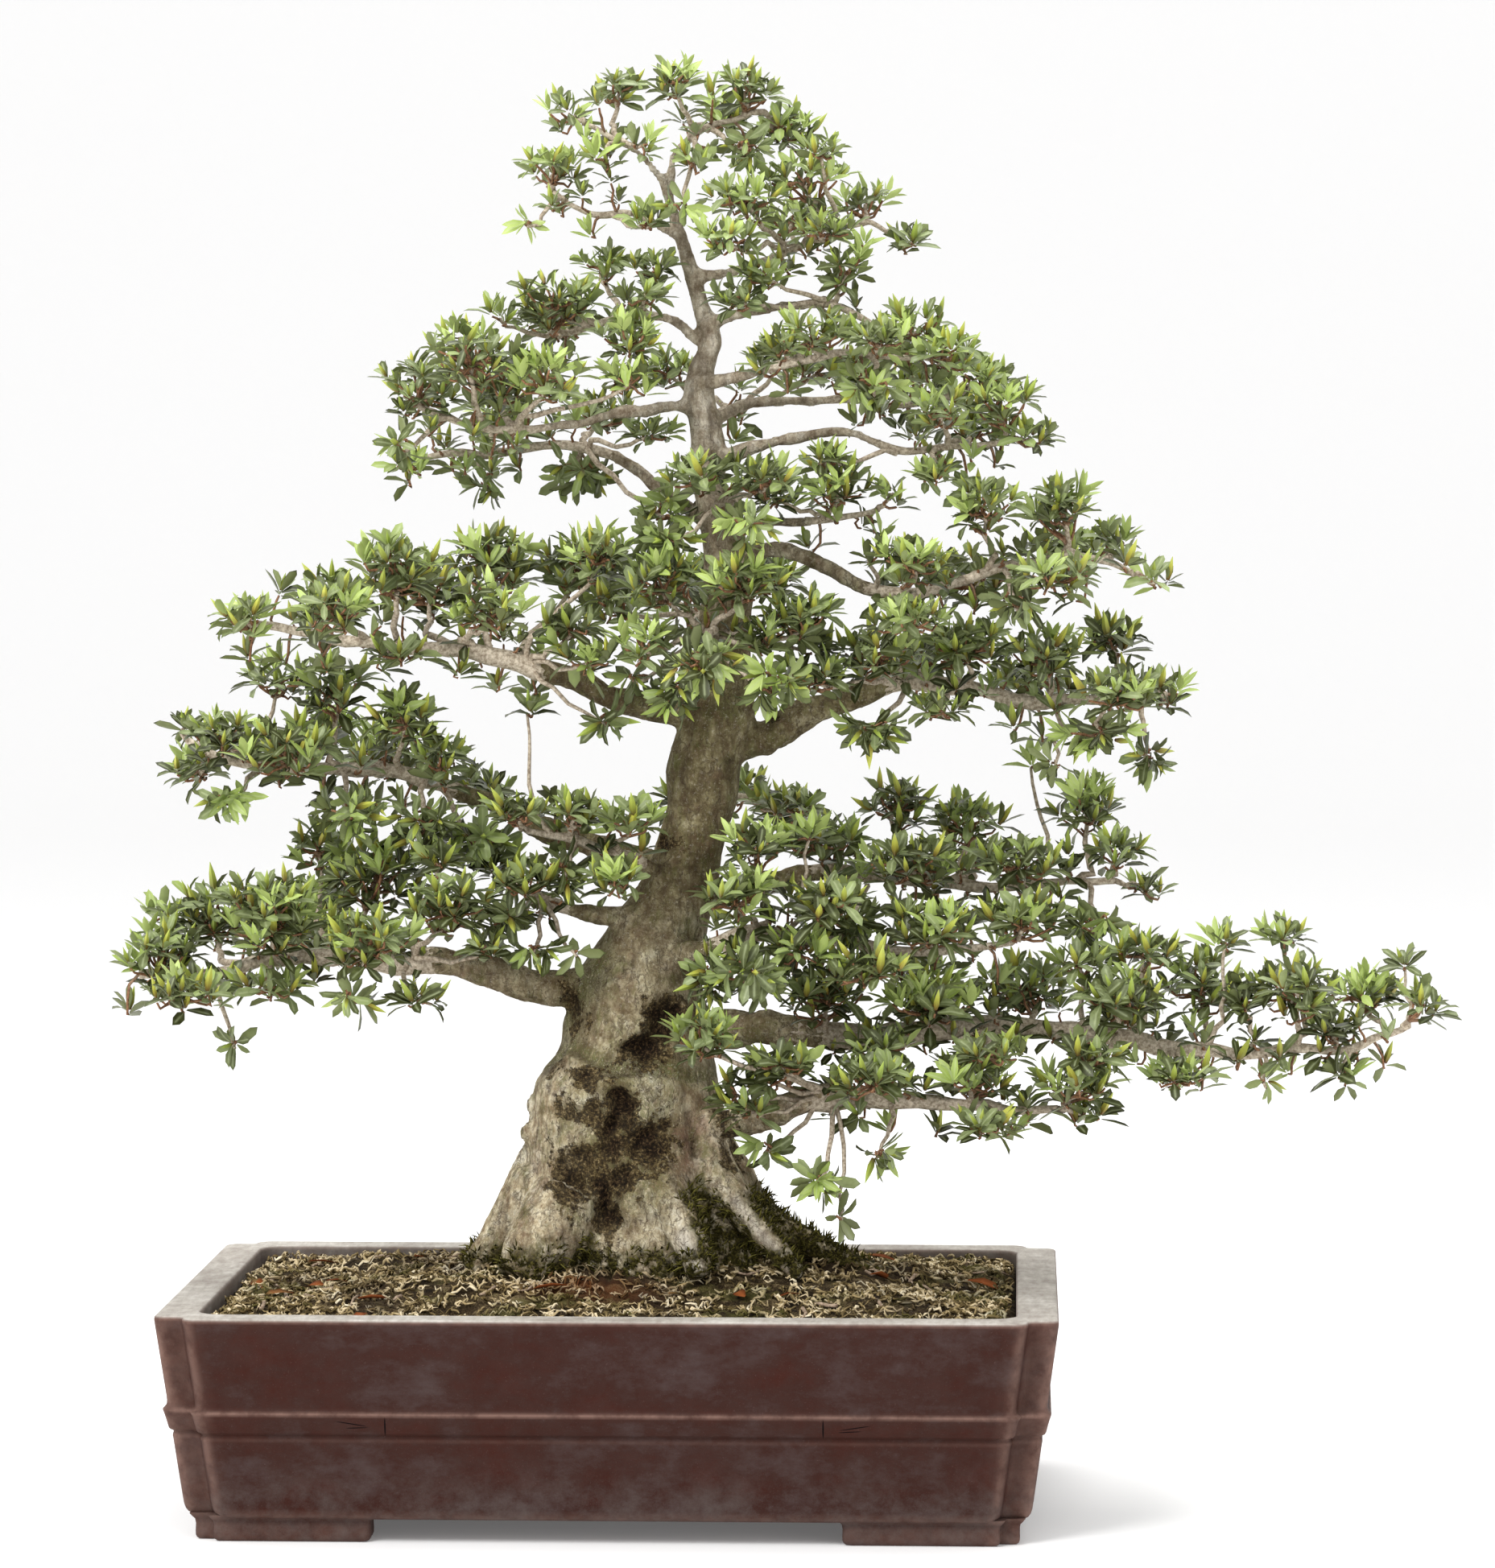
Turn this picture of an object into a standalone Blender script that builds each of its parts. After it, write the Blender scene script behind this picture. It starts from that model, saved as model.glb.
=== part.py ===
# Satsuki azalea bonsai in an unglazed pot with indented corners.
# Metres, +Z up, -Y is the front. The model is built round the pot's middle, with the table at
# height 0, and is moved at the end so that the origin is under the middle of the whole.
# The tree's tables are in centimetres, because they are read off as on a ruler.
import math
import random

import bmesh
import bpy
import numpy as np
from mathutils import Matrix, Vector
from mathutils.bvhtree import BVHTree

CM = 0.01
GAP = 0.0004  # clearance between two pieces that rest on each other

# Pot
POT_WIDTH = 0.500
POT_DEPTH = 0.350
POT_HEIGHT = 0.1265
FOOT_HEIGHT = 0.013
FOOT_LENGTH = 0.098
FOOT_REACH = 0.072  # how far a foot runs along the pot's short side
FOOT_THICKNESS = 0.026
FOOT_INSET = 0.006
BASE_INSET = 0.0155  # the wall leans in by this much from rim to base
RIM_WIDTH = 0.024
NOTCH_WIDTH = 0.017
NOTCH_DEPTH = 0.013
CORNER_ROUND = 0.0035
EDGE_EASE = 0.0016  # every edge of the pot is eased by this much
INNER_ROUND = 0.012
FOOT_SUNK = 0.004
FLOOR_THICKNESS = 0.012
BAND_LOW = 0.061
BAND_HIGH = 0.074
BAND_PROUD = 0.0026
DRAIN_RADIUS = 0.016
DRAIN_SPREAD = 0.110  # each drain hole's distance from the pot's middle
MESH_SIDE = 0.052
MESH_THICKNESS = 0.0012

# Soil and its dressing
SOIL_EDGE = 0.1165  # soil level against the pot's wall
SOIL_CROWN = 0.1345  # soil level against the trunk
HOLE_DEPTH = 0.030
DRESSING = 0.006  # the sphagnum's mean thickness
RIPPLE = 0.0022

# Tree
TRUNK_SIDES = 30
LOFT_TOP = 0.460  # above this the trunk is a round tube
TRUNK_BASE = SOIL_CROWN - HOLE_DEPTH + GAP
ROOT_LINE = SOIL_CROWN + DRESSING
LEAF_LENGTH = 0.023
LEAF_WIDTH = 0.0085
LEAF_THICKNESS = 0.0011
LEAF_WIDEST = 0.48  # where along its length a leaf is widest
BUD_LENGTH = 0.010
BUD_FOOT = 0.004
TWIG_RADIUS = 0.0014
STEM_START = 0.006  # bare length of a spray's stem before its first twig
BROAD_MOUND = 7.5  # half width times half height past which a whorl has five leaves
LONG_TWIG = 0.060
FOOT_SPACING = 0.004
INWARD_LEAD = 0.020  # a twig leaves its stem up to this much nearer the trunk than its closest spot
ATTEMPTS = 20
NUDGE = 0.0012  # each attempt may shift a whorl by this much more
PAD_DEPTH = 1.7  # the mounds stand this much further before and behind their limb than tabled
SEED = 5

# Height, centre x, centre y and radius of the trunk, in centimetres.
TRUNK = [
    (14.0, 0.6, 2.4, 6.3),
    (16.5, 0.5, 2.4, 6.4),
    (19.0, 0.3, 2.3, 6.5),
    (21.5, 0.0, 2.2, 6.0),
    (24.0, 0.0, 2.1, 5.4),
    (26.1, 0.5, 2.0, 4.6),
    (28.4, 0.7, 2.0, 3.95),
    (30.7, 1.0, 2.0, 3.35),
    (33.0, 2.0, 2.0, 2.85),
    (35.4, 3.1, 2.0, 2.35),
    (37.7, 3.8, 2.0, 1.95),
    (40.0, 4.4, 2.1, 2.0),
    (42.3, 4.6, 2.2, 2.15),
    (44.6, 5.3, 2.3, 2.2),
    (47.0, 5.5, 2.3, 1.85),
    (50.0, 5.7, 2.3, 1.6),
    (53.0, 6.0, 2.2, 1.45),
    (56.0, 5.6, 2.1, 1.2),
    (58.5, 4.9, 2.0, 1.0),
    (61.0, 4.8, 2.0, 0.95),
    (63.5, 4.3, 2.0, 0.9),
    (65.2, 4.5, 2.0, 0.75),
    (66.6, 5.0, 2.0, 0.62),
    (68.0, 4.6, 2.0, 0.58),
    (70.0, 4.0, 2.0, 0.48),
    (72.5, 3.3, 2.0, 0.4),
    (75.0, 2.5, 2.0, 0.34),
]

# Surface roots: compass angle in degrees (0 is +X, 270 the front), reach beyond the trunk,
# the height over which the root sinks back, and half its angular width.
ROOTS = [
    (178, 2.3, 3.4, 26),
    (222, 1.5, 2.6, 17),
    (286, 2.2, 2.8, 12),
    (330, 3.0, 2.4, 13),
    (3, 7.0, 1.9, 11),
    (52, 2.6, 2.6, 18),
    (98, 2.0, 3.0, 20),
    (140, 2.6, 2.4, 16),
]

# Old wounds and furrows: x and z seen from the front, half width, half height, depth.
HOLLOWS = [
    (0.4, 22.6, 1.5, 3.6, 1.1),
    (2.2, 27.8, 1.3, 2.0, 0.9),
    (-1.9, 19.2, 1.3, 2.2, 0.6),
]

# Each limb: its route from the trunk outwards, its radius at both ends, and how many of its
# points are bare wood of the tree. Past those it is the stem of a leafy spray.
LIMBS = {
    "low_left": (
        [(1, 2, 30.2), (-2.6, 1.6, 29.9), (-6, 1, 30.6), (-9.5, 0.5, 31.3), (-14, 0, 31.4),
         (-19, -0.5, 31), (-24, -1, 30.5), (-27.6, -1.2, 30.2)],
        1.45, 0.25, 4,
    ),
    "low_left_twig": (
        [(1.6, 1.4, 33), (-1, 0.2, 33.3), (-3, -0.4, 33.7), (-5, -0.6, 34.4), (-6.4, -0.8, 35.2)],
        0.55, 0.2, 3,
    ),
    "left_lower": (
        [(2.6, 2.6, 36), (0, 4.2, 36.8), (-3.6, 4.8, 37.9), (-6.4, 4.6, 39.2), (-9, 4.2, 40.4),
         (-11.5, 3.8, 41.5), (-15, 3.5, 42), (-19.5, 3.6, 42), (-23.5, 4, 42.4), (-25.6, 4.2, 43.4)],
        0.95, 0.22, 5,
    ),
    "left_inner": (
        [(3.4, 1.4, 36.2), (1.4, -0.6, 36.9), (-0.6, -1.6, 37.6), (-2.8, -2.2, 38.1), (-5, -2.4, 38.4)],
        0.5, 0.2, 2,
    ),
    "left_middle": (
        [(5.2, 2.2, 45.2), (2.2, 1.4, 45.9), (-0.8, 0.2, 47), (-3.6, -0.8, 48), (-6.4, -1.5, 48.8),
         (-10, -2, 49.2), (-14, -2, 49.4), (-18, -2, 49.8), (-20.8, -2.2, 50.3)],
        1.0, 0.22, 4,
    ),
    "upper_left_low": (
        [(5, 2.2, 56.6), (3.2, 3, 57.9), (1.4, 3.6, 59), (-0.6, 4.1, 60.2), (-3.6, 4.5, 60.6),
         (-7.4, 4.6, 60.3), (-10.6, 4.4, 60), (-12.6, 4.2, 59.9)],
        0.62, 0.18, 4,
    ),
    "upper_left": (
        [(4.4, 2, 62.9), (1.6, 1.4, 62.7), (-1.2, 0.7, 62.2), (-4.2, 0, 61.9), (-7, -0.5, 61.6),
         (-9.4, -0.8, 61.9), (-11.6, -0.8, 62.8)],
        0.6, 0.18, 4,
    ),
    "upper_left_top": (
        [(4.9, 2, 66.3), (3.6, 2.2, 67.2), (2, 2.4, 68.1), (0.2, 2.6, 68.2), (-2, 2.6, 67.6),
         (-3.6, 2.6, 67.2)],
        0.42, 0.16, 3,
    ),
    "crown_left": (
        [(3.2, 2, 72.7), (1.8, 2, 73.4), (0.4, 1.9, 73.8), (-1.4, 1.7, 73.9), (-3.2, 1.6, 74.6),
         (-4.4, 1.6, 75.4)],
        0.3, 0.14, 3,
    ),
    "crown_top": (
        [(2.5, 2, 75), (2.7, 2.1, 76.4), (3.3, 2.2, 77.8), (4.3, 2.2, 78.7), (5.8, 2.2, 79.2),
         (7.2, 2.3, 79.9)],
        0.32, 0.14, 3,
    ),
    "crown_west": (
        [(2.5, 2, 75), (1.7, 1.8, 76.2), (0.4, 1.6, 77.3), (-1, 1.6, 78.2), (-2.4, 1.6, 79)],
        0.28, 0.14, 3,
    ),
    "crown_right": (
        [(3.9, 2, 70.4), (5.8, 2.2, 70.6), (7.8, 2.5, 71.1), (9.6, 2.7, 71.8), (11.6, 2.9, 72.8),
         (13.6, 3, 73.2)],
        0.38, 0.15, 3,
    ),
    "right_seventh": (
        [(4.6, 2, 68.2), (6.4, 1.6, 68.7), (8.4, 1.2, 68.8), (10.4, 0.9, 69), (12.4, 0.8, 68.5),
         (14.6, 0.8, 67.4), (16.2, 0.8, 66.9)],
        0.36, 0.15, 4,
    ),
    "right_sixth": (
        [(4.5, 1.6, 64.2), (6.2, 0.6, 64.5), (8, -0.4, 64.9), (10.2, -1.2, 65.3), (12.2, -1.6, 65.8),
         (14.4, -1.6, 65.7), (17, -1.4, 65.5)],
        0.42, 0.16, 3,
    ),
    "right_fifth": (
        [(4.8, 2.3, 61.2), (6.8, 3.2, 62.3), (9, 4, 62.7), (11.2, 4.6, 62.8), (13.4, 5, 63.1),
         (15.8, 5.2, 63.2), (18.6, 5.4, 63.6)],
        0.52, 0.17, 4,
    ),
    "right_fourth": (
        [(4.9, 1.8, 60.1), (7.4, 1.4, 61.1), (10, 1, 61.4), (12.2, 0.6, 61.5), (14, 0.2, 60.9),
         (16.6, 0, 60.4), (19.4, -0.4, 60.7), (22, -0.6, 61.1)],
        0.55, 0.17, 5,
    ),
    "right_third_twig": (
        [(5.8, 1.4, 55.6), (8, 0.2, 56.2), (10.2, -0.6, 56.5), (12.4, -0.8, 56.7), (14.6, -0.8, 57)],
        0.4, 0.16, 3,
    ),
    "right_shoulder": (
        [(6, 1.8, 53.4), (8.2, 0.8, 54.6), (10.6, -0.2, 54.5), (13.2, -0.6, 53), (16, -0.6, 52.7),
         (19.5, -0.4, 53.6), (23, 0, 54.4), (26.4, 0.4, 54.6), (28.6, 0.5, 53.4)],
        0.75, 0.18, 4,
    ),
    "right_middle": (
        [(5.4, 2.4, 43.4), (8.2, 3, 43.9), (10.8, 3.2, 45.2), (13.6, 3.2, 46.6), (16.8, 3, 47),
         (20.2, 2.8, 46.6), (24, 3, 46), (28, 3.2, 46), (30.6, 3.4, 46.3)],
        1.15, 0.22, 4,
    ),
    "right_lower": (
        [(3.4, 2.8, 34), (6, 4.2, 34.8), (9.4, 4.8, 35.6), (13, 4.6, 35.8), (17, 4.2, 35.4),
         (21, 4, 35), (25, 4.2, 35.6), (28.4, 4.4, 35.4)],
        0.8, 0.2, 3,
    ),
    "front_right": (
        [(2.4, 0.6, 31.4), (4.4, -1.8, 31.9), (7, -3.2, 32.7), (10.4, -3.6, 32.9), (14.5, -3.2, 32.2),
         (18.6, -2.6, 32), (22, -2.2, 32.4)],
        0.7, 0.2, 2,
    ),
    "long_right": (
        [(1.8, 2, 26.4), (5.4, 1.6, 27), (9, 1, 27.2), (13, 0.6, 26.8), (18, 0.4, 27.2),
         (23, 0.4, 27.2), (28, 0.2, 26.7), (33, 0, 26.2), (37, 0, 25.9), (41, 0, 26.3),
         (44.6, 0, 27.6)],
        1.2, 0.2, 3,
    ),
    "low_right": (
        [(2.4, 0.8, 21.6), (6, -1.2, 22), (9.4, -2.8, 22.9), (13, -3.6, 23.4), (17, -4, 23.5),
         (21, -4.2, 23.2), (24.8, -4.2, 23.2)],
        1.2, 0.22, 3,
    ),
    "centre_front": (
        [(5.7, 1.4, 49.4), (5.4, -1, 49.6), (5.2, -3, 49.9), (5.6, -4.4, 50.4)],
        0.5, 0.25, 2,
    ),
    "centre_high": (
        [(5.2, 1.6, 57), (5.6, -0.2, 57.2), (6.2, -1.6, 57.4), (6.8, -2.6, 57.6)],
        0.36, 0.18, 2,
    ),
    "back_low": (
        [(3.4, 3.4, 38.6), (3.8, 6.4, 39.2), (4.6, 9, 39.7), (5.8, 11.4, 39.8), (6.8, 13.6, 39.8)],
        0.7, 0.2, 2,
    ),
    "back_middle": (
        [(5.6, 3, 50.4), (4.8, 5.6, 50.6), (3.8, 8, 50.7), (3.2, 10.4, 50.9), (3, 12.8, 51.2)],
        0.6, 0.2, 2,
    ),
    "back_high": (
        [(4.7, 2.6, 62), (5.4, 4.6, 62.5), (6, 6.6, 62.7), (6.4, 8.6, 63)],
        0.42, 0.18, 2,
    ),
}

# The mounds of foliage on each spray: centre x, y, z, half width and half height. The larger
# ones carry a leaf whorl here, and so do the tips.
MOUNDS = {
    "low_left": [
        (-27.8, -1, 31.4, 2.5, 2.2), (-24, 2.5, 33.2, 2.8, 2.3), (-24.5, -4, 29.2, 3, 1.6),
        (-19.5, -3.5, 34.4, 3.2, 2.6), (-18.2, 3.5, 31.8, 3.2, 2), (-14.5, 1.5, 36.2, 3.2, 2.6),
        (-14, -4, 32.8, 3, 2), (-9.6, -2.5, 34.6, 2.8, 2.1), (-14.6, -4.5, 28.9, 1.7, 1.1),
        (-10.6, -4, 28.7, 1.8, 1.2), (-22.4, -2.5, 26, 1.2, 0.9), (-19.5, 7, 33.5, 3, 1.8),
    ],
    "low_left_twig": [(-5.4, -2.5, 36, 2.2, 1.3), (-2.4, -2.4, 31.9, 0.9, 0.7), (-7.6, 1.4, 36.6, 2, 1.4)],
    "left_lower": [
        (-20.8, 5.5, 47.4, 2.2, 1.6), (-16.6, 2.5, 46.6, 2.2, 2), (-12.5, 1, 45.2, 1.9, 2),
        (-23.2, 2, 44.4, 2.9, 1.5), (-26.6, 5, 45.2, 1, 0.8), (-25.8, 5.5, 41.8, 2.6, 1.2),
        (-19, 0.5, 43.2, 3.2, 2), (-14.4, 7.5, 42.8, 3.3, 2), (-10, 1.6, 43, 2.2, 1.8),
        (-22.8, 0.5, 39.8, 1.8, 1), (-15.6, 0.5, 39.6, 2.6, 1.5), (-19, 8.5, 44, 2.6, 1.8),
        (-8.2, 8, 41.6, 2.4, 1.5),
    ],
    "left_inner": [
        (-5.6, -3.4, 39.9, 2.1, 1.3), (-2.4, -3.6, 40, 1.8, 1.4), (0.9, -3.4, 39.6, 1.9, 1.5),
        (0.2, -4.4, 36.4, 1.9, 1.3), (-4.8, -1.4, 45.2, 1.2, 1),
    ],
    "left_middle": [
        (-21.6, -3, 51.2, 2.2, 1.5), (-17.3, 0.5, 52.2, 2.7, 2), (-15.5, -6, 51.6, 2.4, 1.6),
        (-12.6, -3.5, 53.8, 3, 2.1), (-11.8, 3.5, 52.4, 2.8, 2), (-7.5, 0, 54.4, 3.1, 2.3),
        (-7, -6, 51.6, 2.6, 1.8), (-3, 3, 53.8, 2.6, 2.2), (-2.6, -3.4, 50.4, 2.2, 1.4),
        (-1, -3.5, 54.6, 2.2, 1.8),
    ],
    "upper_left_low": [
        (-13.2, 3.5, 60.6, 1.9, 1.6), (-8.2, 5.5, 58.6, 1.6, 1.2), (-2.8, 5, 58.9, 2.1, 1.3),
        (-8, 7.5, 62.8, 2.4, 1.6), (-2, 8, 62.8, 2.4, 1.6),
    ],
    "upper_left": [
        (-12.2, -0.5, 64.4, 3, 2.2), (-8.2, -3, 66, 3, 2.3), (-7.4, 2.5, 64.6, 2.8, 1.9),
        (-4, -3, 64.6, 2.6, 1.8), (0.6, -2, 64.6, 1.8, 1.6), (-12.8, -3, 60.6, 1.6, 1.3),
    ],
    "upper_left_top": [
        (-3.8, 1, 69, 2.8, 2.1), (-1.4, 3, 71.2, 1.6, 1.4), (0.6, -0.4, 66.9, 2.2, 1.7),
        (-4.4, 6, 68, 2.4, 1.6),
    ],
    "crown_left": [(-4.2, 2, 77, 2.2, 1.5), (-5.6, 0.8, 73.4, 0.9, 0.8), (1.2, 0, 73.6, 1.3, 1.1)],
    "crown_top": [
        (3, 1, 81.9, 2, 1.6), (7, 2, 81.8, 2.2, 1.6), (9.4, 3, 78.8, 2.3, 1.5), (5.4, 5, 80, 2, 1.4),
    ],
    "crown_west": [(-3.6, 2, 80.2, 1.8, 1.4), (-0.4, 2.6, 81.6, 1.9, 1.4), (1.4, -0.2, 79.2, 1.5, 1.2)],
    "crown_right": [
        (10.6, 1.5, 76, 2.6, 1.5), (7.2, 0.4, 74.8, 2.6, 1.5), (13.8, 3, 74.9, 2.2, 1.2),
        (16.3, 3, 72.4, 1.2, 0.9), (9.4, 5.5, 74, 2.4, 1.4), (6.4, -0.8, 72.4, 2.2, 1.3),
    ],
    "right_seventh": [(12.8, 0.4, 71, 1.8, 1.6), (17.2, 1, 68, 2.4, 1.5), (8.4, -0.8, 70.4, 1.8, 1.2)],
    "right_sixth": [
        (11, -2.6, 67.3, 2.5, 1.4), (19, -1.6, 66.4, 2.3, 1.6), (14.8, -3.4, 67, 2.2, 1.4),
        (8, -2.6, 66, 1.6, 1.4), (14.6, -3, 63.8, 2, 1.2),
    ],
    "right_fifth": [(20.6, 5, 65.2, 2.5, 1.5), (14, 7, 65.2, 2.2, 1.4), (17.2, 7.5, 64.2, 2.6, 1.5)],
    "right_fourth": [
        (22, -1, 63.6, 2.4, 1.7), (23.8, -0.6, 61.4, 1.8, 1.1), (18.2, -2, 62.8, 2.3, 1.3),
        (18.2, -2.4, 58.9, 1.5, 1), (11.6, -1.6, 60, 1.7, 1.2), (20, 3, 61.8, 2.2, 1.3),
    ],
    "right_third_twig": [(12.4, -2, 58.6, 2.5, 1.3), (15.9, -1, 58, 1.5, 1.2)],
    "right_shoulder": [
        (20.6, -2, 57.4, 2.4, 1.9), (25.6, 0, 57.2, 2.6, 1.8), (28.6, 2.5, 55.4, 1.9, 1.4),
        (30.8, 0.6, 53.3, 1.3, 0.9), (24.4, -2.5, 53.4, 2.6, 1.3), (16.8, -3.4, 54.4, 2.8, 1.8),
        (20.4, 3, 53, 3, 1.7), (26, 4.5, 54.8, 2.4, 1.5), 
        (16.4, -3.6, 51, 2.6, 1.4),
    ],
    "right_middle": [
        (28.4, 4.5, 50, 2.1, 1.5), (24.2, 2.5, 48.9, 2.7, 1.7), (31.8, 4, 46.9, 2.1, 1.5),
        (28.2, 0, 46.8, 2.5, 1.5), (19.8, 1, 49.4, 3, 1.6), (14.8, 0, 48.9, 2.8, 1.7),
        (27.4, 2, 44, 2.7, 1.1), (31, 4, 42.6, 1.3, 1.5),
        (23, 7, 47, 2.6, 1.5), (17.4, 7, 48.4, 2.6, 1.6),
    ],
    "right_lower": [
        (15.4, 4, 40.2, 2.2, 1.8), (19.8, 5, 39.2, 2.4, 1.6), (26.8, 5, 40, 2.2, 1.7),
        (30.6, 5, 35, 1.3, 0.9), (22.6, 2, 37, 2.7, 1.5),
        (16.6, 1, 37, 3, 1.7), (11.4, 2.5, 38, 2.5, 1.4), (23.4, 6, 42.6, 1.2, 1),
        (27, 2.6, 32.9, 2.2, 1.1), (20, 8.5, 36.6, 2.6, 1.5),
    ],
    "front_right": [
        (7.6, -4, 38.8, 2.2, 1.8), (10.8, -3.4, 39.6, 1.5, 1), (7, -5.6, 35.4, 2.3, 1.7),
        (12, -5.4, 35.2, 2.6, 1.6), (14, -6, 31.4, 2.6, 1.6), (18, -4, 33.6, 3, 1.7),
        (23, -2.6, 33.8, 2.6, 1.5), (7.6, -6, 31, 2.3, 1.7),
    ],
    "long_right": [
        (11.8, -0.5, 29.4, 2.8, 1.8), (17.6, -2, 29.2, 3, 2), (23, 2.5, 29.6, 3, 2),
        (28.4, -1.6, 29.2, 2.8, 2), (33.2, 1.4, 30, 2.6, 2), (38.2, -1, 30, 2.7, 2),
        (42.4, 1.4, 29.4, 2.5, 1.6), (46, 0, 28.8, 1.7, 1.2), (34.6, -1.4, 33.1, 1.2, 0.9),
        (45, 0.4, 31.2, 1.2, 0.9), (32, -2, 25, 2.2, 1.2), (37, -1, 23.8, 1.5, 1),
        (42.2, -1, 24.3, 1.7, 1.2), (17.4, 5, 29.4, 2.8, 1.7), (29, 4.6, 28.4, 2.6, 1.6),
        (38.6, 2.4, 32.7, 1.4, 1.1),
    ],
    "low_right": [
        (9, -4.6, 25.4, 2.3, 1.4), (14.4, -6, 25.4, 2.8, 1.4), (20, -5.2, 25.2, 2.8, 1.4),
        (25.6, -5, 25, 2.3, 1.3), (27, -4, 22, 1.6, 1.2), (21, -6.4, 21.6, 1.8, 1.1),
        (15, -6, 20.8, 1.6, 1), (11.8, -6.2, 18.9, 1.5, 1),
        (5, -6.6, 27.6, 2, 1.8),
    ],
    "centre_front": [
        (2.6, -4, 53.2, 2.3, 2), (7.2, -5.4, 53, 2.6, 1.9), (10.4, -4.4, 50.8, 2.5, 1.8),
        (1.6, -4.4, 49.6, 2.1, 1.6), (5, -7, 48.4, 2.5, 1.6), (8.8, -6, 47.6, 2.3, 1.4),
    ],
    "centre_high": [(4.4, -2.4, 59.4, 2.2, 1.5), (8.4, -3.8, 58.8, 2.2, 1.4), (7.4, -5, 56.2, 2, 1.3)],
    "back_low": [
        (5.2, 14.5, 42, 3, 1.6), (9.6, 12, 41.8, 2.6, 1.5), (2, 11, 41.6, 2.6, 1.5),
        (9.6, 16.5, 40.4, 2.4, 1.4),
    ],
    "back_middle": [
        (3, 15, 53, 2.8, 1.6), (6.8, 12, 53.2, 2.6, 1.6), (-0.6, 12, 52.8, 2.6, 1.6),
        (8, 8.4, 53, 2.4, 1.5), (-0.8, 8, 51.6, 2.4, 1.4),
    ],
    "back_high": [(6.4, 10.2, 65, 2.5, 1.5), (9.6, 8, 64.8, 2.2, 1.3), (3, 8, 65.2, 2.3, 1.4)],
}

# Finishes, as linear red, green, blue, with roughness
FINISHES = {
    "clay": ((0.105, 0.047, 0.037), 0.55),
    "soil": ((0.055, 0.040, 0.026), 0.95),
    "sphagnum": ((0.200, 0.160, 0.085), 0.95),
    "mesh": ((0.030, 0.035, 0.030), 0.60),
    "bark": ((0.265, 0.215, 0.150), 0.85),
    "foliage": ((0.085, 0.150, 0.035), 0.50),
}


def clear_scene():
    for obj in list(bpy.data.objects):
        bpy.data.objects.remove(obj)


def new_collection(name):
    collection = bpy.data.collections.new(name)
    bpy.context.scene.collection.children.link(collection)
    return collection


def finish_of(name):
    material = bpy.data.materials.get(name) or bpy.data.materials.new(name)
    colour, roughness = FINISHES[name]
    material.use_nodes = True
    shader = material.node_tree.nodes["Principled BSDF"]
    shader.inputs["Base Color"].default_value = (*colour, 1)
    shader.inputs["Roughness"].default_value = roughness
    shader.inputs["Metallic"].default_value = 0
    return material


def add_object(name, mesh, collection):
    obj = bpy.data.objects.new(name, mesh)
    collection.objects.link(obj)
    return obj


def dress(obj, finish):
    """Gives a finished piece its one material and smooth shading with sharp edges kept."""
    obj.data.materials.clear()
    obj.data.materials.append(finish_of(finish))
    obj.data.shade_smooth()
    obj.data.set_sharp_from_angle(angle=math.radians(35))


def loft(name, rings, collection):
    """A closed skin over rings of equally many points, capped at the first and the last."""
    bm = bmesh.new()
    rows = [[bm.verts.new(point) for point in ring] for ring in rings]
    for low, high in zip(rows, rows[1:]):
        for i in range(len(low)):
            j = (i + 1) % len(low)
            bm.faces.new((low[i], low[j], high[j], high[i]))
    bm.faces.new(reversed(rows[0]))
    bm.faces.new(rows[-1])
    bmesh.ops.recalc_face_normals(bm, faces=bm.faces)
    bmesh.ops.triangulate(bm, faces=bm.faces)
    mesh = bpy.data.meshes.new(name)
    bm.to_mesh(mesh)
    bm.free()
    return add_object(name, mesh, collection)


def evaluated_mesh(obj):
    bpy.context.view_layer.update()
    graph = bpy.context.evaluated_depsgraph_get()
    return bpy.data.meshes.new_from_object(obj.evaluated_get(graph))


def tube(name, points, radii, rounding, collection):
    """A capped tube through the points, as a welded mesh. It has 4 sides plus 2 for each rounding."""
    curve = bpy.data.curves.new(name, "CURVE")
    curve.dimensions = "3D"
    curve.bevel_depth = 1
    curve.bevel_resolution = rounding
    curve.use_fill_caps = True
    spline = curve.splines.new("POLY")
    spline.points.add(len(points) - 1)
    for spot, point, radius in zip(spline.points, points, radii):
        spot.co = (*point, 1)
        spot.radius = radius
    guide = add_object(name + "_guide", curve, collection)
    mesh = evaluated_mesh(guide)
    bpy.data.objects.remove(guide)
    bm = bmesh.new()
    bm.from_mesh(mesh)
    bmesh.ops.remove_doubles(bm, verts=bm.verts, dist=1e-6)
    bmesh.ops.recalc_face_normals(bm, faces=bm.faces)
    bm.to_mesh(mesh)
    bm.free()
    return add_object(name, mesh, collection)


def fuse(base, others):
    """Joins everything in the collection others to base and removes what was joined."""
    union = base.modifiers.new("union", "BOOLEAN")
    union.operation = "UNION"
    union.solver = "MANIFOLD"
    union.operand_type = "COLLECTION"
    union.collection = others
    joined = evaluated_mesh(base)
    base.modifiers.remove(union)
    base.data = joined
    for obj in list(others.objects):
        bpy.data.objects.remove(obj)
    bpy.data.collections.remove(others)


def cut(target, cutter):
    difference = target.modifiers.new("cut", "BOOLEAN")
    difference.operation = "DIFFERENCE"
    difference.solver = "EXACT"
    difference.object = cutter
    target.data = evaluated_mesh(target)
    target.modifiers.remove(difference)
    bpy.data.objects.remove(cutter)


# Pot, soil and dressing

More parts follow.
